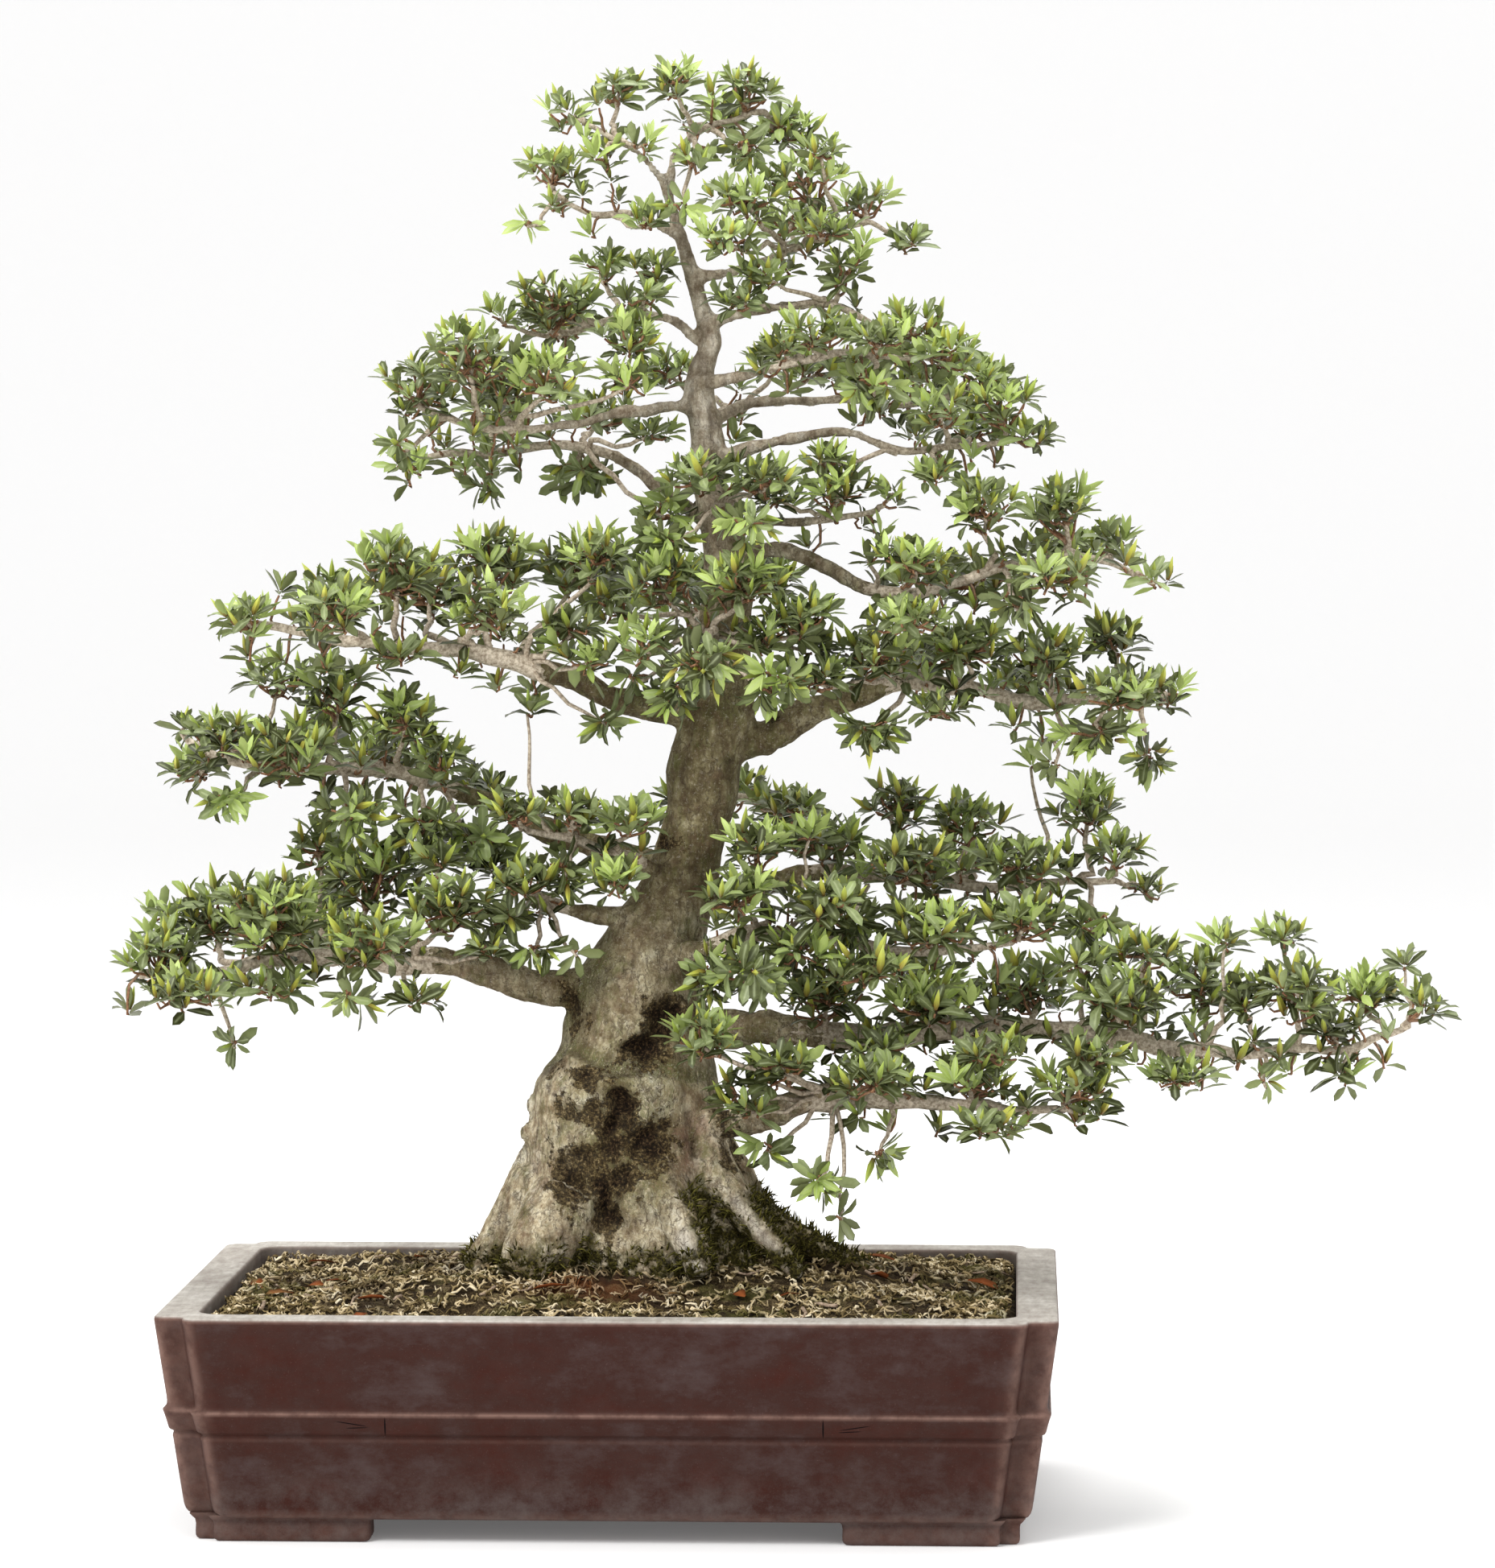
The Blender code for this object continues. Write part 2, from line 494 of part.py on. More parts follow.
def pot_outline(inset, z):
    """Ring of the pot's outside: a rectangle with a rounded square notch cut from each corner."""
    half_w, half_d = POT_WIDTH / 2 - inset, POT_DEPTH / 2 - inset
    notch_w, notch_d, r = NOTCH_WIDTH, NOTCH_DEPTH, CORNER_ROUND
    corner = [
        (half_w, half_d - notch_d - r), (half_w - r, half_d - notch_d),
        (half_w - notch_w, half_d - notch_d),
        (half_w - notch_w, half_d - r), (half_w - notch_w - r, half_d),
    ]
    ring = [(x, y, z) for x, y in corner]
    ring += [(-x, y, z) for x, y in reversed(corner)]
    ring += [(-x, -y, z) for x, y in corner]
    ring += [(x, -y, z) for x, y in reversed(corner)]
    return ring


def inner_outline(inset, z):
    """Ring of the pot's inside: a rectangle with each corner a quarter circle of 5 points."""
    radius = INNER_ROUND
    half_w, half_d = POT_WIDTH / 2 - RIM_WIDTH - inset, POT_DEPTH / 2 - RIM_WIDTH - inset
    ring = []
    for quarter, (sx, sy) in enumerate(((1, 1), (-1, 1), (-1, -1), (1, -1))):
        for step in range(5):
            angle = math.radians(90 * quarter + 22.5 * step)
            x = sx * (half_w - radius) + radius * math.cos(angle)
            y = sy * (half_d - radius) + radius * math.sin(angle)
            ring.append((x, y, z))
    return ring


def lean(z):
    """How far the wall has leaned in at height z."""
    return BASE_INSET * (POT_HEIGHT - z) / (POT_HEIGHT - FOOT_HEIGHT)


def add_foot(side_x, side_y, collection):
    """One L-shaped corner foot, sunk a little into the pot's base."""
    x0 = POT_WIDTH / 2 - BASE_INSET - FOOT_INSET
    y0 = POT_DEPTH / 2 - BASE_INSET - FOOT_INSET
    t, notch_w, notch_d = FOOT_THICKNESS, NOTCH_WIDTH - FOOT_INSET, NOTCH_DEPTH - FOOT_INSET
    plan = [
        (x0 - FOOT_LENGTH, y0), (x0 - notch_w, y0), (x0 - notch_w, y0 - notch_d), (x0, y0 - notch_d),
        (x0, y0 - FOOT_REACH), (x0 - t, y0 - FOOT_REACH), (x0 - t, y0 - t), (x0 - FOOT_LENGTH, y0 - t),
    ]
    rings = []
    for z, inset in ((0, EDGE_EASE), (2 * EDGE_EASE, 0), (FOOT_HEIGHT + FOOT_SUNK, 0)):
        rings.append([(side_x * (x - inset), side_y * (y - inset), z) for x, y in plan])
    return loft("foot", rings, collection)


def make_pot(parts):
    floor = FOOT_HEIGHT + FLOOR_THICKNESS
    slope = EDGE_EASE
    rings = [
        pot_outline(lean(FOOT_HEIGHT) + slope, FOOT_HEIGHT),
        pot_outline(lean(FOOT_HEIGHT), FOOT_HEIGHT + slope),
        pot_outline(lean(BAND_LOW), BAND_LOW),
        pot_outline(lean(BAND_LOW) - BAND_PROUD, BAND_LOW + slope),
        pot_outline(lean(BAND_HIGH) - BAND_PROUD, BAND_HIGH - slope),
        pot_outline(lean(BAND_HIGH), BAND_HIGH),
        pot_outline(0, POT_HEIGHT - slope),
        pot_outline(slope, POT_HEIGHT),
        inner_outline(-slope, POT_HEIGHT),
        inner_outline(0, POT_HEIGHT - slope),
        inner_outline(0, floor),
    ]
    pot = loft("pot", rings, parts)
    feet = new_collection("feet")
    for side_x in (-1, 1):
        for side_y in (-1, 1):
            add_foot(side_x, side_y, feet)
    fuse(pot, feet)
    for side in (-1, 1):
        bpy.ops.mesh.primitive_cylinder_add(
            vertices=20, radius=DRAIN_RADIUS, depth=4 * FLOOR_THICKNESS,
            location=(side * DRAIN_SPREAD, 0, floor),
        )
        cut(pot, bpy.context.object)
    dress(pot, "clay")


def make_drain_meshes(parts):
    """A flat square of plastic mesh over each drain hole, seen from below as a plate."""
    z = FOOT_HEIGHT + FLOOR_THICKNESS + GAP
    for side, name in ((-1, "drain_mesh_left"), (1, "drain_mesh_right")):
        bm = bmesh.new()
        bmesh.ops.create_cube(bm, size=1)
        bmesh.ops.scale(bm, vec=(MESH_SIDE, MESH_SIDE, MESH_THICKNESS), verts=bm.verts)
        mesh = bpy.data.meshes.new(name)
        bm.to_mesh(mesh)
        bm.free()
        plate = add_object(name, mesh, parts)
        plate.location = (side * DRAIN_SPREAD, 0, z + MESH_THICKNESS / 2)
        dress(plate, "mesh")


def trunk_radius(angle, z):
    """The lower trunk's radius in metres at a compass angle in radians and a height in metres."""
    heights = [row[0] * CM for row in TRUNK]
    radius = float(np.interp(z, heights, [row[3] * CM for row in TRUNK]))
    for compass, reach, sink, half in ROOTS:
        turn = math.atan2(math.sin(angle - math.radians(compass)), math.cos(angle - math.radians(compass)))
        above = max(z - ROOT_LINE, 0) / (sink * CM)
        radius += reach * CM * math.exp(-above) * math.exp(-((turn / math.radians(half)) ** 2))
    return radius


def trunk_centre(z):
    heights = [row[0] * CM for row in TRUNK]
    x = float(np.interp(z, heights, [row[1] * CM for row in TRUNK]))
    y = float(np.interp(z, heights, [row[2] * CM for row in TRUNK]))
    return x, y


def hollow_depth(x, z):
    """How far the front of the trunk is sunk at this spot, in metres."""
    depth = 0
    for hx, hz, half_w, half_h, deep in HOLLOWS:
        apart = ((x / CM - hx) / half_w) ** 2 + ((z / CM - hz) / half_h) ** 2
        depth = max(depth, deep * CM * math.exp(-apart * apart))
    return depth


def trunk_ring(z, sides, grown=0.0):
    """Ring round the trunk at height z, grown outwards evenly. Below the root line it stays alike."""
    level = max(z, ROOT_LINE)
    cx, cy = trunk_centre(level)
    ring = []
    for i in range(sides):
        angle = 2 * math.pi * i / sides
        radius = trunk_radius(angle, level) + grown
        x, y = cx + radius * math.cos(angle), cy + radius * math.sin(angle)
        if math.sin(angle) < -0.3 and z > ROOT_LINE + 0.02:
            y += hollow_depth(x, z)
        ring.append((x, y, z))
    return ring


def soil_level(share):
    """Height of the soil from the pot's wall (share 0) to the trunk (share 1)."""
    return SOIL_EDGE + (SOIL_CROWN - SOIL_EDGE) * math.sin(share * math.pi / 2)


def between(outer, inner, share, z):
    return [(a[0] + (b[0] - a[0]) * share, a[1] + (b[1] - a[1]) * share, z)
            for a, b in zip(outer, inner)]


def spread_outline(inset, sides):
    """The pot's inside as a ring of the trunk's number of points, each on its own compass line."""
    cx, cy = trunk_centre(ROOT_LINE)
    half_w, half_d = POT_WIDTH / 2 - RIM_WIDTH - inset, POT_DEPTH / 2 - RIM_WIDTH - inset
    ring = []
    for i in range(sides):
        angle = 2 * math.pi * i / sides
        dx, dy = math.cos(angle), math.sin(angle)
        reach_x = ((half_w if dx > 0 else -half_w) - cx) / dx if abs(dx) > 1e-6 else 9
        reach_y = ((half_d if dy > 0 else -half_d) - cy) / dy if abs(dy) > 1e-6 else 9
        sx, sy = math.copysign(1, dx), math.copysign(1, dy)
        diagonal = (half_w + half_d - INNER_ROUND - sx * cx - sy * cy) / (abs(dx) + abs(dy))
        reach = min(reach_x, reach_y, diagonal)
        ring.append((cx + reach * dx, cy + reach * dy, 0))
    return ring


def make_soil(parts):
    sides = TRUNK_SIDES
    wall = spread_outline(GAP, sides)
    hole = trunk_ring(ROOT_LINE, sides, 2 * GAP)
    bottom = FOOT_HEIGHT + FLOOR_THICKNESS + MESH_THICKNESS + 2 * GAP
    rings = [between(wall, hole, 0, bottom), between(wall, hole, 0, soil_level(0))]
    for share in (0.5, 1):
        rings.append(between(wall, hole, share, soil_level(share)))
    rings.append(between(wall, hole, 1, SOIL_CROWN - HOLE_DEPTH))
    dress(loft("soil", rings, parts), "soil")


def ripple(x, y):
    """The sphagnum's unevenness, from -1 to 1: three waves that don't line up."""
    return (math.sin(210 * x + 70 * y) + math.sin(260 * y - 90 * x + 1) + math.sin(160 * (x + y) + 2)) / 3


def make_dressing(parts):
    """The layer of sphagnum: its underside follows the soil, its top is uneven."""
    sides = TRUNK_SIDES
    wall = spread_outline(2 * GAP, sides)
    hole = trunk_ring(ROOT_LINE, sides, 2 * GAP)
    low_shares = (1, 0.5, 0)
    high_shares = (0, 0.06, 0.3, 0.55, 0.8, 1)
    rings = [between(wall, hole, s, soil_level(s) + GAP) for s in low_shares]
    for share in high_shares:
        flat = between(wall, hole, share, 0)
        edge = 0.45 if share in (0, 1) else 1
        rings.append([
            (x, y, soil_level(share) + GAP + edge * (DRESSING + RIPPLE * ripple(x, y)))
            for x, y, _ in flat
        ])
    bm = bmesh.new()
    rows = [[bm.verts.new(point) for point in ring] for ring in rings]
    for low, high in zip(rows, rows[1:] + rows[:1]):
        for i in range(sides):
            j = (i + 1) % sides
            bm.faces.new((low[i], low[j], high[j], high[i]))
    bmesh.ops.recalc_face_normals(bm, faces=bm.faces)
    bmesh.ops.triangulate(bm, faces=bm.faces)
    mesh = bpy.data.meshes.new("sphagnum_dressing")
    bm.to_mesh(mesh)
    bm.free()
    dress(add_object("sphagnum_dressing", mesh, parts), "sphagnum")


# Wood

def limb_points(name):
    """The limb's route and radius in metres: it tapers fast at first and then evenly."""
    route, thick, thin, _ = LIMBS[name]
    share = np.linspace(0, 1, len(route))
    return np.array(route, float) * CM, (thin + (thick - thin) * (1 - share) ** 1.25) * CM


def limb_rounding(name):
    """Thick limbs have six sides and thin ones four."""
    return 1 if LIMBS[name][1] >= 0.9 else 0


def split_limb(name):
    """Two stretches of a limb that meet face to face across the gap, each (points, radii)."""
    points, radii = limb_points(name)
    start = LIMBS[name][3] - 1
    a, b = points[start], points[start + 1]
    along = (b - a) / np.linalg.norm(b - a)
    middle, radius = (a + b) / 2, (radii[start] + radii[start + 1]) / 2
    wood = (np.vstack([points[:start + 1], middle - along * GAP / 2]), [*radii[:start + 1], radius])
    stem = (np.vstack([middle + along * GAP / 2, points[start + 1:]]), [radius, *radii[start + 1:]])
    return wood, stem


def make_tree(parts):
    """Trunk, roots and the bare part of every limb, fused as they grew."""
    heights = [TRUNK_BASE, ROOT_LINE - 0.001, ROOT_LINE + 0.006, ROOT_LINE + 0.014]
    heights += [row[0] * CM for row in TRUNK if ROOT_LINE + 0.02 < row[0] * CM < LOFT_TOP]
    rings = [trunk_ring(z, TRUNK_SIDES) for z in heights]
    tree = loft("trunk", rings, parts)
    bare = new_collection("bare limbs")
    upper = [row for row in TRUNK if row[0] * CM > LOFT_TOP - 0.05]
    tube("upper trunk", [(x * CM, y * CM, z * CM) for z, x, y, _ in upper],
         [radius * CM * 0.99 for _, _, _, radius in upper], 2, bare)
    for name in LIMBS:
        (points, radii), _ = split_limb(name)
        tube(name, points, radii, limb_rounding(name), bare)
    fuse(tree, bare)
    dress(tree, "bark")
    return tree


# Leaf whorls

def grow_leaf(bm, face, angle, rise, bend):
    """Extrudes one side of the bud into a pointed leaf with a ridge along its upper side."""
    out = Vector((math.cos(angle), math.sin(angle), 0))
    side = Vector((-math.sin(angle), math.cos(angle), 0)) * (LEAF_WIDTH / 2)
    height = LEAF_WIDEST * (rise - bend * LEAF_WIDEST)
    middle = (out * LEAF_WIDEST + Vector((0, 0, height))) * LEAF_LENGTH
    slope = rise - 2 * bend * LEAF_WIDEST
    normal = (Vector((0, 0, 1)) - out * slope).normalized()
    tip = (out + Vector((0, 0, rise - bend))) * LEAF_LENGTH
    root = face.calc_center_median()
    new = bmesh.ops.extrude_discrete_faces(bm, faces=[face])["faces"][0]
    upper = [v for v in new.verts if v.co.z > root.z]
    for v in new.verts:
        if v not in upper:
            v.co = middle + (side if (v.co - root).dot(side) > 0 else -side)
    bmesh.ops.pointmerge(bm, verts=upper, merge_co=middle + normal * LEAF_THICKNESS)
    bmesh.ops.poke(bm, faces=[new])["verts"][0].co = tip


def whorl(name, foot, knee, centre, axis, leaves, draw, collection):
    """A twig from the stem (foot, then knee) that ends in a bud with leaves round it: one closed mesh."""
    bm = bmesh.new()
    bmesh.ops.create_cone(
        bm, cap_ends=True, segments=leaves, radius1=TWIG_RADIUS, radius2=TWIG_RADIUS, depth=BUD_FOOT,
        matrix=Matrix.Rotation(draw.uniform(0, math.tau), 4, "Z"),
    )
    caps = sorted((f for f in bm.faces if abs(f.normal.z) > 0.7), key=lambda f: f.normal.z)
    sides = [f for f in bm.faces if f not in caps]
    base = caps[0]
    bmesh.ops.poke(bm, faces=[caps[1]])["verts"][0].co = Vector((0, 0, BUD_LENGTH))
    for i, face in enumerate(sides):
        spot = face.calc_center_median()
        steep = i % 2
        rise = (1.15 if steep else 0.62) + draw.uniform(-0.12, 0.12)
        bend = 0.5 + draw.uniform(-0.1, 0.1)
        grow_leaf(bm, face, math.atan2(spot.y, spot.x), rise, bend)
    stand = axis.to_track_quat("Z", "Y").to_matrix().to_4x4()
    bmesh.ops.transform(bm, matrix=Matrix.Translation(centre) @ stand, verts=bm.verts)
    last = axis
    bends = ((knee, centre - foot), (foot, knee - foot))
    if (centre - foot).length < LONG_TWIG:
        bends = ((foot, (centre - foot).normalized() + axis),)
    for place, heading in bends:
        turn = last.rotation_difference(heading)
        base = bmesh.ops.extrude_discrete_faces(bm, faces=[base])["faces"][0]
        own = base.calc_center_median()
        for v in base.verts:
            v.co = place + turn @ (v.co - own)
        last = heading
    bmesh.ops.recalc_face_normals(bm, faces=bm.faces)
    bmesh.ops.triangulate(bm, faces=bm.faces)
    mesh = bpy.data.meshes.new(name)
    bm.to_mesh(mesh)
    bm.free()
    return add_object(name, mesh, collection)


def shape_of(obj):
    mesh = obj.data
    return BVHTree.FromPolygons([v.co for v in mesh.vertices], [list(p.vertices) for p in mesh.polygons])


def crosses_itself(obj):
    """Whether two faces of the mesh that share no corner cross each other."""
    shape = shape_of(obj)
    faces = [set(p.vertices) for p in obj.data.polygons]
    return any(not faces[a] & faces[b] for a, b in shape.overlap(shape))


def feet_along(points):
    """Spots on the stem that a twig may leave from: past its face at the gap, a few millimetres apart."""
    lengths = np.linalg.norm(np.diff(points, axis=0), axis=1)
    way = np.concatenate([[0], np.cumsum(lengths)])
    spots = np.arange(STEM_START, way[-1], FOOT_SPACING)
    return np.column_stack([np.interp(spots, way, points[:, k]) for k in range(3)])


def place_whorl(spray, index, mound, stem, taken, draw, collection):
    """Tries turns and small shifts of a whorl until it is clear of every other node."""
    x, y, z, half_w, half_h = mound
    feet = feet_along(stem)
    limb_y = float(feet[int(np.argmin(abs(feet[:, 0] - x * CM)))][1]) / CM
    y = limb_y + PAD_DEPTH * (y - limb_y)
    lead = np.linspace(0, INWARD_LEAD, len(feet))
    leaves = 5 if half_w * half_h > BROAD_MOUND else 4
    for attempt in range(ATTEMPTS):
        reach = NUDGE * attempt
        spot = Vector((x, y, z)) * CM + Vector([draw.uniform(-reach, reach) for _ in range(3)])
        foot = Vector(feet[int(np.argmin(np.linalg.norm(feet - np.array(spot), axis=1) + lead))])
        heading = spot - foot
        lift = Vector((0, 0, -0.5 if heading.z < -0.012 else 1.1))
        axis = (heading.normalized() * 0.9 + lift).normalized()
        knee = foot.lerp(spot, 0.55) - lift * 0.12 * heading.length
        made = whorl(f"{spray}_{index}", foot, knee, spot, axis, leaves, draw, collection)
        shape = shape_of(made)
        clear = not any(shape.overlap(other) for node, other in taken if node != spray)
        if clear and not crosses_itself(made):
            taken.append((spray, shape))
            return True
        bpy.data.objects.remove(made)
    return False


def make_sprays(parts, tree):
    draw = random.Random(SEED)
    taken = [("trunk", shape_of(tree))]
    stems = {}
    for name in LIMBS:
        _, (points, radii) = split_limb(name)
        stems[name] = tube(f"spray_{name}", points, radii, limb_rounding(name), parts)
        taken.append((name, shape_of(stems[name])))
    for name, stem in stems.items():
        _, (points, _) = split_limb(name)
        bunch = new_collection(name)
        for index, mound in enumerate(MOUNDS[name]):
            if not place_whorl(name, index, mound, points, taken, draw, bunch):
                print("no clear place for", name, index)
        print(name, len(bunch.objects), "whorls")
        fuse(stem, bunch)
        dress(stem, "foliage")


def centre_on_origin(parts):
    """Moves the whole model sideways, so that the origin is under the middle of its box."""
    corners = np.array([obj.matrix_world @ Vector(c) for obj in parts.objects for c in obj.bound_box])
    middle = (corners.min(axis=0) + corners.max(axis=0)) / 2
    for obj in parts.objects:
        obj.location -= Vector((middle[0], middle[1], 0))


def main():
    clear_scene()
    parts = new_collection("satsuki azalea bonsai")
    make_pot(parts)
    make_drain_meshes(parts)
    make_soil(parts)
    make_dressing(parts)
    tree = make_tree(parts)
    make_sprays(parts, tree)
    bpy.context.view_layer.update()
    centre_on_origin(parts)


main()
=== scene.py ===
import math

import bpy
import numpy as np
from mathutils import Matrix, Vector


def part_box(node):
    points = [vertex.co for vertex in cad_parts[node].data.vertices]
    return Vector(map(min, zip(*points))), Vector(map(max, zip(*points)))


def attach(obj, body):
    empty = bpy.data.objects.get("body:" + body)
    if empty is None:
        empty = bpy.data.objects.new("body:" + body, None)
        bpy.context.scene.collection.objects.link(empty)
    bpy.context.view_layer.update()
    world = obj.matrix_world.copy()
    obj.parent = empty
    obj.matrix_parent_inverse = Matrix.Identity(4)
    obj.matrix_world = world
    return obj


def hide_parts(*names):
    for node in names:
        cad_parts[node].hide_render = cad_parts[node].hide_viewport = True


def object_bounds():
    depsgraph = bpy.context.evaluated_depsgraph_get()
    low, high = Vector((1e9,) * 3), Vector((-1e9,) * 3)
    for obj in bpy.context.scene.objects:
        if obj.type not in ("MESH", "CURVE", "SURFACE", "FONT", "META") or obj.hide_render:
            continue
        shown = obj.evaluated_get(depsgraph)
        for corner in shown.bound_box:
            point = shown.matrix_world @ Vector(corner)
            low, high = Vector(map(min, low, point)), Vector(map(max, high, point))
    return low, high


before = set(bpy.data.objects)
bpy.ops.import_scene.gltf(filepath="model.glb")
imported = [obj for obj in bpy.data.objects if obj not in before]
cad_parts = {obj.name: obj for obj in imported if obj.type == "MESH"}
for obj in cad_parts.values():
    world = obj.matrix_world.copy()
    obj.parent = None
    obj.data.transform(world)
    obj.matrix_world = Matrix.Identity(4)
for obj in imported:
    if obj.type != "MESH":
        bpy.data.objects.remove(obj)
cadLow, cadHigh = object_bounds()
potLow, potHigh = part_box("pot")
cm = 0.01
# The tables below are in centimetres from the middle of the pot's underside, as in the solids.
potMiddle = np.array([(potLow[0] + potHigh[0]) / 2, (potLow[1] + potHigh[1]) / 2, 0.0])


# Numbers and noise

def smoothStep(values, low, high):
    # 0 below low, 1 above high, and 3t^2 - 2t^3 between
    t = np.clip((values - low) / (high - low), 0, 1)
    return t * t * (3 - 2 * t)


def bell(distance, width):
    # 1 at no distance, and falling off by e to the minus (distance over width) squared
    return np.exp(-(distance / width) ** 2)


def unit(vectors):
    # each vector divided by its length
    return vectors / np.maximum(np.linalg.norm(vectors, axis=-1, keepdims=True), 1e-12)


def cornerValue(cell, seed):
    # a fixed pseudo-random number from -1 to 1 for each corner of the lattice, from its bits mixed up
    mixed = (cell[..., 0] * 73856093) ^ (cell[..., 1] * 19349663) ^ (cell[..., 2] * 83492791)
    mixed = mixed ^ (seed * 2654435)
    mixed = ((mixed ^ (mixed >> 13)) * 1274126177) & 0x7FFFFFFF
    return ((mixed ^ (mixed >> 15)) & 0xFFFF) / 32767.5 - 1


def latticeNoise(points, size, seed, octaves=3):
    # values at a cubic lattice's corners, blended smoothly between them, summed over octaves
    # that halve in size and in strength
    total, strength = np.zeros(len(points)), 1.0
    for octave in range(octaves):
        spot = points / np.asarray(size) * 2.0**octave
        cell = np.floor(spot).astype(np.int64)
        t = smoothStep(spot - cell, 0, 1)
        for corner in range(8):
            step = np.array([corner & 1, corner >> 1 & 1, corner >> 2])
            weight = np.prod(np.where(step, t, 1 - t), axis=1)
            total += strength * weight * cornerValue(cell + step, seed + octave)
        strength *= 0.5
    return total


def throughPoints(points, perSpan):
    # a Catmull-Rom curve through the points, perSpan steps from each to the next
    points = np.asarray(points, float)
    ends = np.vstack([2 * points[0] - points[1], points, 2 * points[-1] - points[-2]])
    t = np.linspace(0, 1, perSpan, endpoint=False)[:, None]
    spans = [0.5 * (2 * b + (c - a) * t + (2 * a - 5 * b + 4 * c - d) * t**2 + (3 * b - a - 3 * c + d) * t**3)
             for a, b, c, d in zip(ends, ends[1:], ends[2:], ends[3:])]
    return np.vstack([*spans, points[-1:]])


def bentPaths(starts, startWays, ends, endWays, steps):
    # Hermite curves: each leaves its start along startWay and reaches its end along endWay
    t = np.linspace(0, 1, steps)[None, :, None]
    a, b, va, vb = (values[:, None] for values in (starts, ends, startWays, endWays))
    return ((2 * t**3 - 3 * t**2 + 1) * a + (t**3 - 2 * t**2 + t) * va
            + (3 * t**2 - 2 * t**3) * b + (t**3 - t**2) * vb)


# Meshes

def newObject(name, data):
    # an object that holds the data, placed in the scene
    made = bpy.data.objects.new(name, data)
    bpy.context.scene.collection.objects.link(made)
    return made


def setMarks(mesh, marks):
    # each mark becomes an attribute with one value for each point
    for key, values in marks.items():
        mesh.attributes.new(key, "FLOAT", "POINT").data.foreach_set("value", np.asarray(values, np.float32))


def vectorsOf(elements, key):
    # the place or the normal of each element, as rows of three
    values = np.empty(len(elements) * 3)
    elements.foreach_get(key, values)
    return values.reshape(-1, 3)


def buildMesh(name, points, faceSets, marks=None):
    # one mesh from whole arrays: each face set holds faces of one size, each mark a value per point
    mesh = bpy.data.meshes.new(name)
    mesh.vertices.add(len(points))
    mesh.vertices.foreach_set("co", np.asarray(points, np.float32).ravel())
    corners = np.concatenate([np.asarray(f).ravel() for f in faceSets])
    sizes = np.concatenate([np.full(len(f), np.asarray(f).shape[1]) for f in faceSets])
    mesh.loops.add(len(corners))
    mesh.loops.foreach_set("vertex_index", corners.astype(np.int32))
    mesh.polygons.add(len(sizes))
    mesh.polygons.foreach_set("loop_start", np.concatenate([[0], np.cumsum(sizes)[:-1]]).astype(np.int32))
    setMarks(mesh, marks or {})
    mesh.update(calc_edges=True)
    mesh.validate()
    mesh.shade_smooth()
    return mesh


def gridFaces(rows, columns, aroundRows=False, aroundColumns=False):
    # the quads of a grid of points, closed on itself either way if asked
    i = np.arange(rows if aroundRows else rows - 1)[:, None]
    j = np.arange(columns if aroundColumns else columns - 1)[None, :]
    i2, j2 = (i + 1) % rows, (j + 1) % columns
    corners = (i * columns + j, i * columns + j2, i2 * columns + j2, i2 * columns + j)
    return np.stack(np.broadcast_arrays(*corners), axis=-1).reshape(-1, 4)


def levelRing(flat, z):
    # flat points raised to one height
    return np.column_stack([flat, np.full(len(flat), z)])


def stackedRings(rings):
    # quads from each ring of points to the next, and a flat face over the first and the last
    count = len(rings[0])
    ring = np.arange(count)[None]
    return np.vstack(rings), [gridFaces(len(rings), count, aroundColumns=True), ring[:, ::-1],
                              ring + (len(rings) - 1) * count]


def sweptTubes(paths, radii, sides):
    # a ring of evenly spaced points square to each path point, turned along with the path,
    # with both ends closed
    count, steps, _ = paths.shape
    along = unit(np.gradient(paths, axis=1))
    guide = np.where(np.abs(along[:, 0, 2:3]) < 0.8, [[0.0, 0.0, 1.0]], [[1.0, 0.0, 0.0]])
    across = np.empty_like(paths)
    across[:, 0] = unit(np.cross(along[:, 0], guide))
    for k in range(1, steps):
        before = across[:, k - 1]
        across[:, k] = unit(before - along[:, k] * np.sum(before * along[:, k], axis=1, keepdims=True))
    third = np.cross(along, across)
    angle = np.linspace(0, 2 * math.pi, sides, endpoint=False)[None, None, :, None]
    circle = across[:, :, None] * np.cos(angle) + third[:, :, None] * np.sin(angle)
    points = (paths[:, :, None] + circle * radii[:, :, None, None]).reshape(-1, 3)
    first = (np.arange(count) * steps * sides)[:, None, None]
    walls = (gridFaces(steps, sides, aroundColumns=True)[None] + first).reshape(-1, 4)
    ring = np.arange(sides)[None]
    caps = np.vstack([first[:, 0] + ring[:, ::-1], first[:, 0] + (steps - 1) * sides + ring])
    return points, [walls, caps]


def taperedTube(points, radii, sides):
    # one tube through the points, closed at both ends
    return sweptTubes(np.asarray(points)[None], np.asarray(radii)[None], sides)


def joinParts(parts):
    # several (points, face sets) in one, with the numbers in the face sets moved on
    points, faceSets, start = [], [], 0
    for some, sets in parts:
        points.append(some)
        faceSets += [np.asarray(s) + start for s in sets]
        start += len(some)
    return np.vstack(points), faceSets


def addPiece(name, mesh, finish, replaced):
    # one piece that rides on the root, wears the slot and stands in for the solids named
    piece = newObject(name, mesh)
    mesh.materials.clear()
    mesh.materials.append(finish)
    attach(piece, "root")
    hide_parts(*replaced)


def bakedMesh(rough):
    # the mesh that the object's modifiers make; the object itself goes
    bpy.context.view_layer.update()
    mesh = bpy.data.meshes.new_from_object(rough.evaluated_get(bpy.context.evaluated_depsgraph_get()))
    bpy.data.objects.remove(rough)
    return mesh


# Finishes

